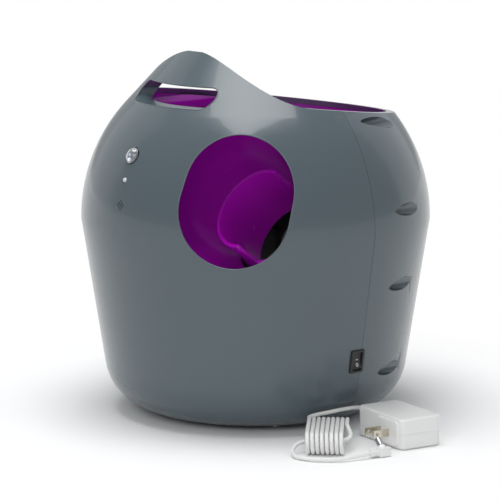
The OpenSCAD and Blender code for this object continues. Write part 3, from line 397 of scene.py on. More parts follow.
def noiseNode(tree, vector, scale, detail=3.0, rough=0.5):
    node = tree.nodes.new("ShaderNodeTexNoise")
    node.inputs["Detail"].default_value = detail
    node.inputs["Roughness"].default_value = rough
    tree.links.new(vector, node.inputs["Vector"])
    if isinstance(scale, (int, float)):
        node.inputs["Scale"].default_value = scale
    else:
        tree.links.new(scale, node.inputs["Scale"])
    return node.outputs["Fac"]


def mouldedGroup(m):
    # moulded plastic: slow mottling of the colour and gloss, fine grain for the height, and
    # sparse dust
    group, into, out = newGroup("mouldedPlastic", [
        ("Color", "NodeSocketColor", (0.1, 0.1, 0.1, 1)), ("Roughness", "NodeSocketFloat", 0.3),
        ("Mottle", "NodeSocketFloat", 0.06), ("Flow", "NodeSocketFloat", 9.0),
        ("Grain", "NodeSocketFloat", 900.0), ("Dust", "NodeSocketFloat", 0.02)],
        effectOutputs)
    place = group.nodes.new("ShaderNodeTexCoord").outputs["Object"]
    flow = noiseNode(group, place, into.outputs["Flow"], 2.0)
    grain = noiseNode(group, place, into.outputs["Grain"], 2.0, 0.6)
    speck = noiseNode(group, place, m["speckScale"], 1.0)
    swing = mathNode(group, "MULTIPLY", mathNode(group, "SUBTRACT", flow, 0.5),
                     into.outputs["Mottle"])
    bright = group.nodes.new("ShaderNodeHueSaturation")
    group.links.new(into.outputs["Color"], bright.inputs["Color"])
    value = mathNode(group, "ADD", mathNode(group, "MULTIPLY", swing, m["swing"]), 1.0)
    group.links.new(value, bright.inputs["Value"])
    dust = mathNode(group, "MULTIPLY", mathNode(group, "GREATER_THAN", speck, m["speckFrom"]),
                    into.outputs["Dust"])
    mix = group.nodes.new("ShaderNodeMix")
    mix.data_type = "RGBA"
    group.links.new(dust, mix.inputs[0])
    group.links.new(bright.outputs[0], mix.inputs[6])
    mix.inputs[7].default_value = m["dustColor"]
    group.links.new(mix.outputs[2], out.inputs["Color"])
    dull = mathNode(group, "ADD", swing, mathNode(group, "MULTIPLY", dust, m["dustRough"]))
    rough = mathNode(group, "ADD", into.outputs["Roughness"], dull)
    group.links.new(rough, out.inputs["Roughness"])
    group.links.new(grain, out.inputs["Height"])
    return group


def workedGroup(m):
    # worked metal: noise stretched along one direction for the lines, and slow stains
    group, into, out = newGroup("workedMetal", [
        ("Color", "NodeSocketColor", (0.6, 0.6, 0.6, 1)), ("Roughness", "NodeSocketFloat", 0.3),
        ("Stretch", "NodeSocketVector", (40.0, 40.0, 1500.0)), ("Stain", "NodeSocketFloat", 0.15)],
        effectOutputs)
    place = group.nodes.new("ShaderNodeTexCoord").outputs["Object"]
    scaled = group.nodes.new("ShaderNodeVectorMath")
    scaled.operation = "MULTIPLY"
    group.links.new(place, scaled.inputs[0])
    group.links.new(into.outputs["Stretch"], scaled.inputs[1])
    lines = noiseNode(group, scaled.outputs[0], 1.0, 4.0, 0.6)
    stain = noiseNode(group, place, m["stainScale"], 3.0)
    depth = mathNode(group, "MULTIPLY", mathNode(group, "SUBTRACT", stain, 0.5),
                     into.outputs["Stain"])
    tone = group.nodes.new("ShaderNodeHueSaturation")
    group.links.new(into.outputs["Color"], tone.inputs["Color"])
    value = mathNode(group, "ADD", 1.0, mathNode(group, "MULTIPLY", depth, m["swing"]))
    group.links.new(value, tone.inputs["Value"])
    group.links.new(tone.outputs[0], out.inputs["Color"])
    rough = mathNode(group, "ADD", into.outputs["Roughness"],
                     mathNode(group, "MULTIPLY", mathNode(group, "SUBTRACT", lines, 0.5),
                              m["lineRough"]))
    group.links.new(mathNode(group, "SUBTRACT", rough, depth), out.inputs["Roughness"])
    group.links.new(lines, out.inputs["Height"])
    return group


mouldedPlastic, workedMetal = mouldedGroup(moulded), workedGroup(worked)


def newMaterial(name, group, values, shader, bump=0.0, bumpDistance=0.0001):
    # a Principled shader whose colour, roughness and normal come from a shared group with its own
    # values
    material = bpy.data.materials.new(name)
    material.use_nodes = True
    tree = material.node_tree
    principled = tree.nodes["Principled BSDF"]
    for label, value in shader.items():
        principled.inputs[label].default_value = value
    effect = tree.nodes.new("ShaderNodeGroup")
    effect.node_tree = group
    for label, value in values.items():
        effect.inputs[label].default_value = value
    tree.links.new(effect.outputs["Color"], principled.inputs["Base Color"])
    tree.links.new(effect.outputs["Roughness"], principled.inputs["Roughness"])
    if bump:
        node = tree.nodes.new("ShaderNodeBump")
        node.inputs["Strength"].default_value = bump
        node.inputs["Distance"].default_value = bumpDistance
        tree.links.new(effect.outputs["Height"], node.inputs["Height"])
        tree.links.new(node.outputs["Normal"], principled.inputs["Normal"])
    return material


def plastic(name, color, rough, coat=0.0, coatRough=0.08, mottle=0.05, flow=9.0, grain=900.0,
            dust=0.015, bump=0.05):
    values = {"Color": (*color, 1), "Roughness": rough, "Mottle": mottle, "Flow": flow,
              "Grain": grain, "Dust": dust}
    shader = {"Coat Weight": coat, "Coat Roughness": coatRough, "IOR": 1.49}
    return newMaterial(name, mouldedPlastic, values, shader, bump)


def metal(name, color, rough, stretch=(300.0, 300.0, 300.0), stain=0.15, bump=0.1):
    values = {"Color": (*color, 1), "Roughness": rough, "Stretch": stretch, "Stain": stain}
    return newMaterial(name, workedMetal, values, {"Metallic": 1.0}, bump)


materials = {
    "shell": plastic("slateShell", (0.072, 0.098, 0.114), 0.24, coat=0.35, coatRough=0.06,
                     mottle=0.04, flow=6.0, bump=0.02, dust=0.0),
    "purple": plastic("purplePlastic", (0.330, 0.003, 0.365), 0.24, coat=0.6, coatRough=0.06,
                      mottle=0.04, bump=0.02, dust=0.0),
    "black": plastic("blackPlastic", (0.012, 0.012, 0.013), 0.44, mottle=0.08, bump=0.12),
    # the piston's dark grey is painted shade: the plunger sits deep in the barrel's bore and is
    # darkened so the bore reads as black shade
    "piston": plastic("pistonPaintedShade", (0.075, 0.072, 0.068), 0.40, mottle=0.06),
    "board": plastic("circuitBoard", (0.02, 0.15, 0.06), 0.30, coat=0.4, mottle=0.5, flow=160.0),
    "rocker": plastic("rockerPlastic", (0.020, 0.020, 0.022), 0.28, mottle=0.05),
    "base": plastic("basePlastic", (0.045, 0.050, 0.055), 0.48, mottle=0.08,
                    grain=1400.0, bump=0.3),
    "rubber": plastic("rubberFeet", (0.020, 0.020, 0.020), 0.75, mottle=0.12,
                      grain=1600.0, bump=0.4),
    "white": plastic("whitePlastic", (0.80, 0.80, 0.79), 0.32, coat=0.25, coatRough=0.15,
                     mottle=0.015, bump=0.04, dust=0.0),
    "cord": plastic("cordJacket", (0.80, 0.80, 0.79), 0.42, mottle=0.02, bump=0.05, dust=0.0),
    "bracket": plastic("bracketPaint", (0.045, 0.045, 0.050), 0.42, mottle=0.06,
                       grain=1200.0, bump=0.3),
    "mark": plastic("whiteMark", (0.80, 0.80, 0.80), 0.5, mottle=0.02),
    "lamp": plastic("statusDiffuser", (0.58, 0.62, 0.60), 0.22, coat=0.5, mottle=0.02, dust=0.0),
    "steel": metal("bareSteel", (0.56, 0.57, 0.59), 0.26),
    "spring": metal("springSteel", (0.46, 0.47, 0.50), 0.30),
    "bronze": metal("sinteredBronze", (0.60, 0.40, 0.20), 0.42),
    "contact": metal("platedContact", (0.66, 0.66, 0.60), 0.28),
    "blade": metal("platedBlade", (0.62, 0.57, 0.47), 0.26, stretch=(60.0, 60.0, 1800.0)),
    "chrome": metal("sleeveChrome", (0.42, 0.43, 0.46), 0.20, stain=0.02, bump=0.0),
    "mirror": metal("sensorMirror", (0.24, 0.25, 0.27), 0.30, stain=0.02, bump=0.0),
}


def clearMaterial(name, tint, rough):
    # clear plastic: plain transmission, with the roughness mottled a little
    material = plastic(name, tint, rough, mottle=0.03, flow=60.0, dust=0.0, bump=0.0)
    principled = material.node_tree.nodes["Principled BSDF"]
    principled.inputs["Transmission Weight"].default_value = 1.0
    return material


materials["lens"] = clearMaterial("clearLens", (0.93, 0.95, 0.97), 0.03)
materials["light"] = clearMaterial("clearLight", (0.90, 0.95, 0.90), 0.18)
slotOfNode = {s["node"]: s["material_slot"] for s in frame["record"]["subparts"]}
for name, node in nodes.items():
    node.data.materials.clear()
    node.data.materials.append(materials[slotOfNode[name]])
print("materials made")


def dress(piece, material, body, *replaced, slot=None):
    piece.data.materials.clear()
    piece.data.materials.append(materials[material])
    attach(piece, body)
    if replaced:
        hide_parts(*replaced)
    return piece


dress(powerCord, "cord", "root", "cord_lead", "cord_hank", "cord_tail", slot="cord")
dress(strainRelief, "white", "root", "strain_relief", slot="white")
dress(barrelPlug, "white", "root", "barrel_plug", slot="white")
dress(barrelSleeve, "chrome", "root", slot="steel")


# sensor, status light and switch; axis is the least radius on a lathe's axis
axis = 1e-5
sensor = {"z": 0.247, "r": 0.008, "top": 0.0054, "domeR": 0.0089, "wall": 0.0011, "foot": -0.0038}
domeArc = np.linspace(0.0, 0.97, 12)
sensorFrame = domeFrame(0, sensor["z"])


def lensParts(s):
    # a hollow dome: an outer arc down to the collar, and the same arc smaller and closed
    # underneath
    centre = s["top"] - s["domeR"]
    a = domeArc * math.asin(s["r"] / s["domeR"])
    outer = np.stack([s["domeR"] * np.sin(a), centre + s["domeR"] * np.cos(a)], -1)
    inner = outer[::-1] * [(s["r"] - s["wall"]) / s["r"], 1] - [0, s["wall"]]
    outer[0, 0] = inner[-1, 0] = axis
    wallTop = centre + s["domeR"] * math.cos(math.asin(s["r"] / s["domeR"]))
    wall = [(s["r"] - s["wall"], s["foot"]), (s["r"], s["foot"]), (s["r"], wallTop)]
    return latheParts(np.vstack([inner[::-1], wall, outer[::-1]]), sensorFrame, 72)


cup = {"gap": 0.0002, "low": -0.0030, "rise": 0.0028, "bottom": -0.0042,
       "step": (0.0024, 0.0023, 0.0019), "stepZ": (-0.0022, -0.0019, -0.0018)}


def cupParts(s, c):
    # a polished cup round the detector: a shallow bowl, a step and a small raised window
    r = s["r"] - s["wall"] - c["gap"]
    foot, shoulder, window = c["step"]
    q = np.linspace(0, 1, 10)
    bowl = np.stack([foot + (r - foot) * q, c["low"] + c["rise"] * q ** 2], -1)
    under = [(axis, c["bottom"]), (r, c["bottom"])]
    raised = list(zip((shoulder, window, axis), c["stepZ"]))
    return latheParts(np.vstack([under, bowl[::-1], raised]), sensorFrame, 64)


flange = {"in": 0.001, "out": 0.0025, "low": -0.0052, "high": -0.0037}


def flangeParts(s, g):
    # the hidden flange that holds the lens behind the wall
    near, away = s["r"] - g["in"], s["r"] + g["out"]
    return latheParts([(near, g["low"]), (away, g["low"]), (away, g["high"]), (near, g["high"])],
                      sensorFrame, 48)


sensorDome = newPiece("sensorDome", *joined([lensParts(sensor), flangeParts(sensor, flange)]), 40)
sensorCup = newPiece("sensorCup", *cupParts(sensor, cup), 40)
dress(sensorDome, "lens", "root", "sensor_lens", slot="lens")
dress(sensorCup, "mirror", "root", slot="steel")

statusLamp = {"z": 0.226, "r": 0.0021, "foot": -0.009, "sunk": 0.0002, "steps": 8}


def lampParts(s):
    # a pin behind the wall that ends in a low dome
    q = np.linspace(0, math.pi / 2, s["steps"])
    dome = np.stack([s["r"] * np.cos(q) + axis, s["r"] * np.sin(q) - s["sunk"]], -1)
    return latheParts(np.vstack([[(axis, s["foot"]), (s["r"], s["foot"])], dome]),
                      domeFrame(0, s["z"]), 32)


statusDome = newPiece("statusDome", *lampParts(statusLamp), 50)
dress(statusDome, "lamp", "root", "status_light", slot="light")

switch = {"azimuth": 88, "z": 0.065, "wide": 0.015, "high": 0.021,
          "rockerWide": 0.0092, "rockerLong": 0.0144,
          "axis": -0.0035, "swing": 24, "top": 0.0036, "hollow": 0.0014, "shoulder": 0.0040,
          "under": -0.001, "round": 0.0007, "middle": 0.0016, "halfHigh": 0.0034,
          "core": (0.0046, 0.0005, 0.0002), "coreZ": -0.016, "pin": (0.0048, 0.0008, 0.008),
          "pinY": (-0.005, 0, 0.005), "pinZ": -0.023}
bezel = {"holeX": 0.0006, "holeY": 0.0024, "corner": 0.0012, "edge": 0.0007, "rise": 0.0019,
         "depth": 0.0072, "holeCorner": 0.0004}
switchFrame = sideFrame(switch["azimuth"], switch["z"])


def bezelParts(s, z):
    # a rounded frame: its cross-section goes up the outside, over two rounded edges, down the hole
    q = np.linspace(0, math.pi / 2, 5)
    wide, high, edge, lip = s["wide"], s["high"], z["edge"], z["edge"] * 0.6
    holeX, holeY = s["rockerWide"] + z["holeX"], s["rockerLong"] + z["holeY"]
    rings = [roundedOutline(wide, high, z["corner"], 0)]
    for a in q:
        i = edge * (1 - math.cos(a))
        rings.append(roundedOutline(wide - 2 * i, high - 2 * i, z["corner"] - i * 0.9,
                                    z["rise"] - edge * (1 - math.sin(a))))
    for a in q:
        i = lip * (1 - math.sin(a))
        rings.append(roundedOutline(holeX + 2 * i, holeY + 2 * i, z["holeCorner"] + i,
                                    z["rise"] - lip * (1 - math.cos(a))))
    rings.append(roundedOutline(holeX, holeY, z["holeCorner"], -z["depth"]))
    rim = list(range(len(rings[0])))
    v, f = joined([loftParts(np.array(rings), close=False), ([rings[-1]], [rim]),
                   ([rings[0]], [rim[::-1]])])
    return moved(v, switchFrame), f


def coreParts(s):
    # the switch's body behind the wall, with three flat pins
    core = slabParts(s["wide"] - 0.002, s["high"] - 0.002, *s["core"],
                     switchFrame @ shift(0, 0, s["coreZ"]))
    pins = [slabParts(*s["pin"], 0.0003, 0.0002, switchFrame @ shift(0, y, s["pinZ"]))
            for y in s["pinY"]]
    return joined([core] + pins)


def rockerParts(s):
    # a rocker with a hollow top: its outline in y and z is carried along x, pulled in at both ends
    half, y = s["rockerLong"] / 2, np.linspace(-1, 1, 17)
    top = np.stack([y * half, s["top"] + s["hollow"] * y ** 2], -1)
    near, low = half - 0.0002, half - 0.0008
    outline = np.vstack([top, [(near, s["shoulder"]), (low, s["under"]), (-low, s["under"]),
                               (-near, s["shoulder"])]])
    middle = np.array([0, s["middle"]])
    q = np.linspace(0, math.pi / 2, 5)
    places = [(-s["rockerWide"] / 2 + s["round"] * (1 - math.sin(a)),
               s["round"] * (1 - math.cos(a))) for a in q[::-1]]
    places += [(-x, i) for x, i in places[::-1]]
    rings = []
    for x, inset in places:
        p = middle + (outline - middle) * (1 - inset / np.array([half, s["halfHigh"]]))
        rings.append(np.column_stack([np.full(len(p), x), p]))
    return loftParts(np.array(rings)[:, ::-1])


rockerFrame = switchFrame @ shift(0, 0, switch["axis"]) @ rotX(-switch["swing"] / 2)


def ringParts(radiusX, radiusY, wire, place, sides=32, around=8):
    # an oval ring: a small circle carried round an ellipse
    t = np.linspace(0, 2 * math.pi, sides, endpoint=False)[:, None]
    u = np.linspace(0, 2 * math.pi, around, endpoint=False)[None, :]
    v = np.stack([(radiusX + wire * np.cos(u)) * np.cos(t),
                  (radiusY + wire * np.cos(u)) * np.sin(t), wire * 0.5 * np.sin(u) + 0 * t], -1)
    return moved(v.reshape(-1, 3), place), gridFaces(sides, around, aroundRows=True)


marks = {"ringY": -0.0040, "ring": (0.00105, 0.00145, 0.00026), "barY": 0.0006,
         "bar": (0.0026, 0.00055, 0.00016, 0.00012, 0.00004), "proud": 0.00006}


def markFrame(s, y):
    # a mark lies on the rocker's hollow top, turned to its slope
    half = s["rockerLong"] / 2
    slope = math.degrees(math.atan(2 * s["hollow"] * (y / half) / half))
    z = s["top"] + s["hollow"] * (y / half) ** 2 + marks["proud"]
    return rockerFrame @ shift(0, y, z) @ rotX(slope)


switchBezel = newPiece("switchBezel", *joined([bezelParts(switch, bezel), coreParts(switch)]), 40)
rockerVerts, rockerFaces = rockerParts(switch)
rockerPaddle = newPiece("rockerPaddle", moved(rockerVerts, rockerFrame), rockerFaces, 40)
rockerMarks = newPiece("rockerMarks", *joined([
    ringParts(*marks["ring"], markFrame(switch, marks["ringY"])),
    slabParts(*marks["bar"], markFrame(switch, marks["barY"]))]), 40)
dress(switchBezel, "black", "root", "switch_housing", slot="black")
dress(rockerPaddle, "rocker", "rocker", "rocker", slot="rocker")
dress(rockerMarks, "mark", "rocker", slot="white")
print("sensor and switch made")

# dial at the rear, feet and launch spring
dial = {"z": 0.100, "r": 0.018, "knobR": 0.015, "ribs": 28, "ripple": 0.0004, "numbers": 9,
        "textSize": 0.0026, "from": -120, "sweep": 240, "ink": 0.00006, "inkZ": 0.00362,
        "pointer": (0.0022, 0.0100, 0.0014, 0.0010, 0.0004), "pointerAt": (0, 0.0075, 0.0074),
        "line": (0.0010, 0.0070, 0.0001, 0.0004, 0.00004), "lineAt": (0, 0.0078, 0.00876)}
dialFrame = sideFrame(180, dial["z"])


def dialParts(d):
    # a flanged knob: a lathe profile whose knob part ripples with the angle, r = r0 + ripple
    # cos(ribs t)
    sides = d["ribs"] * 8
    t = np.linspace(0, 2 * math.pi, sides, endpoint=False)
    k = d["knobR"]
    profile = [(0.003, -0.014, 0), (0.003, 0.0006, 0), (d["r"] - 0.0004, 0.0006, 0),
               (d["r"], 0.0010, 0), (d["r"], 0.0030, 0), (d["r"] - 0.0006, 0.0036, 0),
               (k + 0.0003, 0.0036, 0), (k - 0.0002, 0.0040, 0.3), (k - 0.0004, 0.0048, 1),
               (k - 0.0006, 0.0066, 1), (k - 0.0010, 0.0074, 0.8), (k - 0.0018, 0.0079, 0.3),
               (k - 0.0030, 0.0080, 0), (0.0070, 0.0077, 0), (0.0020, 0.0076, 0),
               (axis, 0.0076, 0)]
    r, h, w = (np.array(c)[:, None] for c in zip(*profile))
    radius = r + d["ripple"] * w * np.cos(d["ribs"] * t)
    knob = loftParts(np.stack([radius * np.cos(t), radius * np.sin(t), h + 0 * t], -1))
    v, f = joined([knob, slabParts(*d["pointer"], shift(*d["pointerAt"]))])
    return moved(v, dialFrame), f


def textMesh(text, size, depth):
    curve = bpy.data.curves.new("label", "FONT")
    curve.body, curve.size, curve.extrude = text, size, depth
    curve.align_x, curve.align_y = "CENTER", "CENTER"
    curve.resolution_u = 3
    holder = bpy.data.objects.new("label", curve)
    bpy.context.scene.collection.objects.link(holder)
    bpy.context.view_layer.update()
    mesh = bpy.data.meshes.new_from_object(holder)
    v = np.array([p.co for p in mesh.vertices]).reshape(-1, 3)
    f = [list(p.vertices) for p in mesh.polygons]
    bpy.data.objects.remove(holder)
    bpy.data.meshes.remove(mesh)
    return v, f


def dialNumbers(d):
    # the numbers 1 to 9 on the flange, each turned to its own angle
    parts = []
    middle = (d["r"] + d["knobR"]) / 2 + 0.0001
    for k in range(d["numbers"]):
        angle = d["from"] + d["sweep"] * k / (d["numbers"] - 1)
        v, f = textMesh(str(k + 1), d["textSize"], d["ink"])
        parts.append((moved(v, dialFrame @ rotZ(-angle) @ shift(0, middle, d["inkZ"])), f))
    return joined(parts)


distanceKnob = newPiece("distanceKnob", *dialParts(dial), 32)
knobNumbers = newPiece("knobNumbers", *dialNumbers(dial), 30)
pointerInk = newPiece("pointerInk", *slabParts(
    *dial["line"], dialFrame @ shift(*dial["lineAt"])), 30)
dress(distanceKnob, "black", "dial", "distance_dial", slot="black")
dress(knobNumbers, "mark", "dial", slot="white")
dress(pointerInk, "mark", "dial", slot="white")

feet = {"places": [(0.072, 0.026), (-0.072, 0.026), (-0.072, -0.026), (0.072, -0.026),
                   (0, 0.077), (0, -0.077)],
        "profile": [(axis, 0.0003), (0.0058, 0.0003), (0.0061, 0.0), (0.0070, 0.0),
                    (0.0077, 0.0003), (0.0080, 0.0009), (0.0080, 0.0025), (axis, 0.0025)]}
rubberPads = newPiece("rubberPads", *joined([latheParts(feet["profile"], shift(x, y, 0), 40)
                                             for x, y in feet["places"]]), 40)
dress(rubberPads, "rubber", "root", "rubber_feet", slot="rubber")

barrel = {"pivot": (0.0985, -0.054, 0.180), "fall": 22, "turn": 18}
barrelFrame = shift(*barrel["pivot"]) @ rotZ(barrel["turn"]) @ rotX(-barrel["fall"])
spring = {"from": 0.0615, "to": 0.1285, "turns": 6, "r": 0.022, "wire": 0.0013, "travel": 0.050,
          "steps": 24, "closing": 0.35}


def springParts(s):
    # a helix along the barrel whose pitch closes up towards both ends
    t = np.linspace(0, 1, s["steps"] * s["turns"] + 1)
    even = t - s["closing"] / s["turns"] * np.sin(2 * math.pi * t)
    y = s["from"] + (s["to"] - s["from"]) * even
    a = 2 * math.pi * s["turns"] * t
    path = np.stack([s["r"] * np.cos(a), y, s["r"] * np.sin(a)], -1)
    return tubeParts(moved(path, barrelFrame), s["wire"], 10, barrelFrame[:3, 1])


launchCoil = newPiece("launchCoil", *springParts(spring), 50)
dress(launchCoil, "spring", "root", "launch_spring", slot="spring")
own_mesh(launchCoil)
print("dial, feet and spring made")


# copies of the moulded pieces: merged, shaded by angle and, but for the nozzle, softly edged
softened = {
    "front_shell": {"name": "frontShellSkin", "body": "root", "edge": 0.0004},
    "rear_shell": {"name": "rearShellSkin", "body": "root", "edge": 0.0004},
    "ball_bucket": {"name": "bucketSkin", "body": "root", "edge": 0.0004},
    "launch_bowl": {"name": "bowlSkin", "body": "root", "edge": 0.0004},
    "nozzle": {"name": "nozzleSkin", "body": "nozzle", "edge": 0.0},
    "base_plate": {"name": "baseSkin", "body": "root", "edge": 0.0003},
    "battery_door": {"name": "doorSkin", "body": "door", "edge": 0.0003}}
soft = {"angle": 38, "segments": 2, "merge": 2e-6, "collapse": 1e-6}


def mergedMesh(node):
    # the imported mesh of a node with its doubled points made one
    mesh = bmesh.new()
    mesh.from_mesh(nodes[node].data)
    bmesh.ops.remove_doubles(mesh, verts=mesh.verts, dist=soft["merge"])
    return mesh


def meshPoints(mesh):
    mesh.verts.index_update()
    return np.array([v.co for v in mesh.verts])


def mergedArrays(node):
    mesh = mergedMesh(node)
    bmesh.ops.dissolve_degenerate(mesh, edges=mesh.edges, dist=soft["collapse"])
    verts = meshPoints(mesh)
    faces = [[v.index for v in f.verts] for f in mesh.faces]
    mesh.free()
    return verts, faces


def softCopy(node, s):
    # an edge of 0 leaves the copy as sharp as the solid
    piece = newPiece(s["name"], *mergedArrays(node), soft["angle"])
    if s["edge"]:
        bevel = piece.modifiers.new("softEdge", "BEVEL")
        bevel.limit_method = "ANGLE"
        bevel.angle_limit = math.radians(soft["angle"])
        bevel.width = s["edge"]
        bevel.segments = soft["segments"]
        bevel.harden_normals = True
    dress(piece, slotOfNode[node], s["body"], node, slot=slotOfNode[node])


for node, s in softened.items():
    softCopy(node, s)
print("softened copies made")


# thin rounded beads along the sharp outer edges of the launch opening and the carry slot
beads = {"openingBead": {"low": (0.055, -0.150, 0.150), "high": (0.145, -0.065, 0.276)},
         "slotBead": {"low": (-0.056, -0.118, 0.284), "high": (0.056, -0.082, 0.310)}}
beadForm = {"r": 0.0007, "sink": 0.00035, "points": 280, "sides": 10, "sharp": 45,
            "near": 0.00035, "smoothing": 3, "step": 1e-4}


def sharpOuterEdges(node, b):
    # pairs of points of the edges that are sharp and lie on the body's outside
    mesh = mergedMesh(node)
    verts = meshPoints(mesh)
    pairs = np.array([(e.verts[0].index, e.verts[1].index) for e in mesh.edges
                      if len(e.link_faces) == 2 and e.calc_face_angle() > math.radians(b["sharp"])])
    mesh.free()
    outside = abs(np.hypot(verts[:, 0], verts[:, 1]) - bodyRadius(verts[:, 2])) < b["near"]
    return verts, pairs[outside[pairs].all(axis=1)]


def closedLoop(verts, pairs, low, high, b):
    # the edges inside the box, walked from neighbour to neighbour, then spaced evenly and smoothed
    inside = ((verts > low) & (verts < high)).all(axis=1)
    near = {}
    for one, other in pairs[inside[pairs].all(axis=1)].tolist():
        near.setdefault(one, []).append(other)
        near.setdefault(other, []).append(one)
    walk, before, here = [], None, next(iter(near))
    while not walk or here != walk[0]:
        walk.append(here)
        before, here = here, [k for k in near[here] if k != before][0]
    path = verts[walk + walk[:1]]
    along = np.append(0, np.cumsum(np.linalg.norm(np.diff(path, axis=0), axis=1)))
    even = np.linspace(0, along[-1], b["points"], endpoint=False)
    path = np.stack([np.interp(even, along, path[:, k]) for k in range(3)], -1)
    for _ in range(b["smoothing"]):
        path = 0.5 * path + 0.25 * (np.roll(path, 1, axis=0) + np.roll(path, -1, axis=0))
    return path


def beadParts(path, b):
    # a small circle carried round the loop, starting at the body's outward direction
    z, step = path[:, 2], b["step"]
    slope = (bodyRadius(z + step) - bodyRadius(z - step)) / (2 * step)
    radial = path[:, :2] / np.linalg.norm(path[:, :2], axis=1, keepdims=True)
    outward = unitRows(np.column_stack([radial, -slope]))
    tangent = unitRows(np.roll(path, -1, axis=0) - np.roll(path, 1, axis=0))
    outward = unitRows(outward - (outward * tangent).sum(axis=1, keepdims=True) * tangent)
    beside = np.cross(tangent, outward)
    u = np.linspace(0, 2 * math.pi, b["sides"], endpoint=False)[None, :, None]
    spokes = outward[:, None, :] * np.cos(u) + beside[:, None, :] * np.sin(u)
    rings = (path - b["sink"] * outward)[:, None, :] + b["r"] * spokes
    return rings.reshape(-1, 3), gridFaces(len(path), b["sides"], aroundRows=True)


outerVerts, outerPairs = sharpOuterEdges("front_shell", beadForm)
for name, box in beads.items():
    loop = closedLoop(outerVerts, outerPairs, box["low"], box["high"], beadForm)
    bead = newPiece(name, *beadParts(loop, beadForm), 60)
    dress(bead, "shell", "root", slot="shell")
print("beads made")

# covers over the two pin holes, flush with the nozzle's bore
pinCover = {"r": 0.0025, "bore": 0.0360, "depth": 0.0008, "edge": 0.0003}


def coverParts(c, side):
    # a disc with a bevelled rim towards the bore; side is -1 or 1, the end of the pivot it covers
    back = c["bore"] + c["depth"]
    profile = [(axis, c["bore"]), (c["r"] - c["edge"], c["bore"]), (c["r"], c["bore"] + c["edge"]),
               (c["r"], back), (axis, back)]
    return latheParts(profile, shift(*barrel["pivot"]) @ rotY(side * 90), 32)


pinCovers = newPiece("pinCovers", *joined([coverParts(pinCover, s) for s in (-1, 1)]), 40)
dress(pinCovers, "purple", "nozzle", slot="purple")

# the adapter's case: two halves with a fine parting groove, and the raised plate round the blades
caseForm = {"corner": 0.005, "edge": 0.0018, "split": 0.0135, "groove": 0.0003,
            "plate": (0.033, 0.022, 0.003), "plateAt": 0.0145, "plateSunk": 0.001,
            "plateCorner": 0.0046, "plateEdge": 0.0009}


def caseParts(a, c):
    q = np.linspace(0, math.pi / 2, 6)
    low = [(c["edge"] * (1 - math.sin(v)), c["edge"] * (1 - math.cos(v))) for v in q]
    high = [(inset, a["height"] - z) for inset, z in low[::-1]]
    g = c["groove"]
    middle = [(0, c["split"] - g), (g, c["split"] - g * 0.6),
              (g, c["split"] + g * 0.6), (0, c["split"] + g)]
    rings = [roundedOutline(a["length"] - 2 * i, a["width"] - 2 * i, c["corner"] - i, z, 8)
             for i, z in low + middle + high]
    v, f = loftParts(np.array(rings))
    wide, tall, thick = c["plate"]
    plateFrame = adapterFrame @ shift(c["plateAt"], -a["width"] / 2 + c["plateSunk"],
                                      a["height"] / 2) @ rotX(90)
    plate = slabParts(wide, tall, thick, c["plateCorner"], c["plateEdge"], plateFrame, 8, 5)
    return joined([(moved(v, adapterFrame), f), plate])


adapterCase = newPiece("adapterCase", *caseParts(adapter, caseForm), 40)
dress(adapterCase, "white", "root", "adapter_body", slot="white")
print("adapter case made")

# floor, sky and lamps
studio = {"floorColor": (0.93, 0.93, 0.93), "floorSize": 24.0, "floorZ": -0.0004,
          "clearFrom": 0.19, "clearTo": 0.42, "skyGlow": 0.46, "skyColor": (0.96, 0.98, 1.0, 1)}


def addFloor(s):
    # a matt floor that camera, mirror and glass rays see as plain white further out
    half, z = s["floorSize"] / 2, s["floorZ"]
    corners = [(-half, -half, z), (half, -half, z), (half, half, z), (-half, half, z)]
    floor = newPiece("studioFloor", corners, [[0, 1, 2, 3]])
    material = bpy.data.materials.new("paleFloor")
    material.use_nodes = True
    tree = material.node_tree
    tree.nodes.clear()
    out = tree.nodes.new("ShaderNodeOutputMaterial")
    diffuse, glow, mix = (tree.nodes.new("ShaderNode" + k)
                          for k in ("BsdfDiffuse", "Emission", "MixShader"))
    diffuse.inputs["Color"].default_value = (*s["floorColor"], 1)
    rays = tree.nodes.new("ShaderNodeLightPath")
    place = tree.nodes.new("ShaderNodeTexCoord").outputs["Object"]
    far = tree.nodes.new("ShaderNodeVectorMath")
    far.operation = "LENGTH"
    tree.links.new(place, far.inputs[0])
    ramp = tree.nodes.new("ShaderNodeMapRange")
    ramp.interpolation_type = "SMOOTHSTEP"
    ramp.inputs["From Min"].default_value = s["clearFrom"]
    ramp.inputs["From Max"].default_value = s["clearTo"]
    tree.links.new(far.outputs["Value"], ramp.inputs["Value"])
    mirrored = mathNode(tree, "MAXIMUM", rays.outputs["Is Glossy Ray"],
                        rays.outputs["Is Transmission Ray"])
    seen = mathNode(tree, "MAXIMUM", rays.outputs["Is Camera Ray"], mirrored)
    tree.links.new(mathNode(tree, "MULTIPLY", seen, ramp.outputs["Result"]), mix.inputs["Fac"])
    tree.links.new(diffuse.outputs[0], mix.inputs[1])
    tree.links.new(glow.outputs[0], mix.inputs[2])
    tree.links.new(mix.outputs[0], out.inputs["Surface"])
    floor.data.materials.append(material)


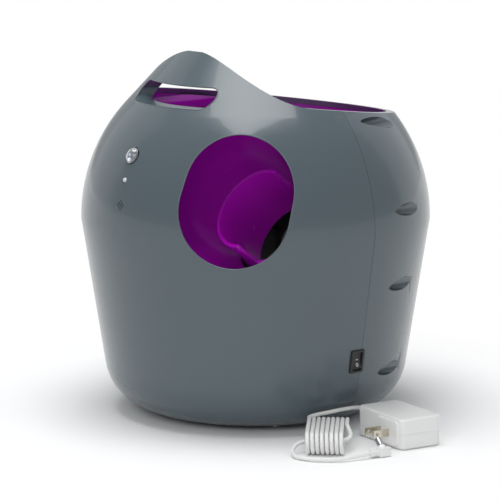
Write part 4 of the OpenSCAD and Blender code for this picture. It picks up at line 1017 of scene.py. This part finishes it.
def addSky(s):
    # a soft sky for the light, and a pale grey one for the camera and for rays through glass
    world = bpy.data.worlds.new("studioSky")
    bpy.context.scene.world = world
    world.use_nodes = True
    tree = world.node_tree
    tree.nodes.clear()
    out = tree.nodes.new("ShaderNodeOutputWorld")
    dim, pale, mix = (tree.nodes.new("ShaderNode" + k)
                      for k in ("Background", "Background", "MixShader"))
    dim.inputs["Strength"].default_value = s["skyGlow"]
    dim.inputs["Color"].default_value = s["skyColor"]
    rays = tree.nodes.new("ShaderNodeLightPath")
    seen = mathNode(tree, "MAXIMUM", rays.outputs["Is Camera Ray"],
                    rays.outputs["Is Transmission Ray"])
    tree.links.new(seen, mix.inputs["Fac"])
    tree.links.new(dim.outputs[0], mix.inputs[1])
    tree.links.new(pale.outputs[0], mix.inputs[2])
    tree.links.new(mix.outputs[0], out.inputs["Surface"])


def addLamp(name, place, target, size, power):
    data = bpy.data.lights.new(name, "AREA")
    data.shape, data.size, data.size_y, data.energy = "RECTANGLE", size[0], size[1], power
    lamp = bpy.data.objects.new(name, data)
    bpy.context.scene.collection.objects.link(lamp)
    lamp.location = place
    lamp.rotation_mode = "QUATERNION"
    lamp.rotation_quaternion = (Vector(target) - Vector(place)).to_track_quat("-Z", "Y")


def aroundCamera(side, distance, height):
    # a place at an angle to the right of the line from the object to the camera
    a = math.radians(photoCamera["azimuth"] + side)
    return (distance * math.sin(a), -distance * math.cos(a), height)


lamps = {
    "overheadSoftbox": {"place": (-0.02, -0.12, 1.45), "target": (0, 0, 0.1),
                        "size": (1.0, 0.85), "power": 13.5},
    "leftSoftbox": {"place": aroundCamera(-125, 1.3, 0.75), "target": (0, 0, 0.2),
                    "size": (1.0, 1.3), "power": 1.2},
    "rightSoftbox": {"place": aroundCamera(125, 1.3, 0.75), "target": (0, 0, 0.2),
                     "size": (1.0, 1.3), "power": 1.6},
    "frontFill": {"place": aroundCamera(-12, 2.6, 1.3), "target": (0, 0, 0.2),
                  "size": (1.6, 1.2), "power": 18.0}}
addFloor(studio)
addSky(studio)
for name, lamp in lamps.items():
    addLamp(name, **lamp)
bpy.context.scene.view_settings.view_transform = "Standard"
print("studio made")
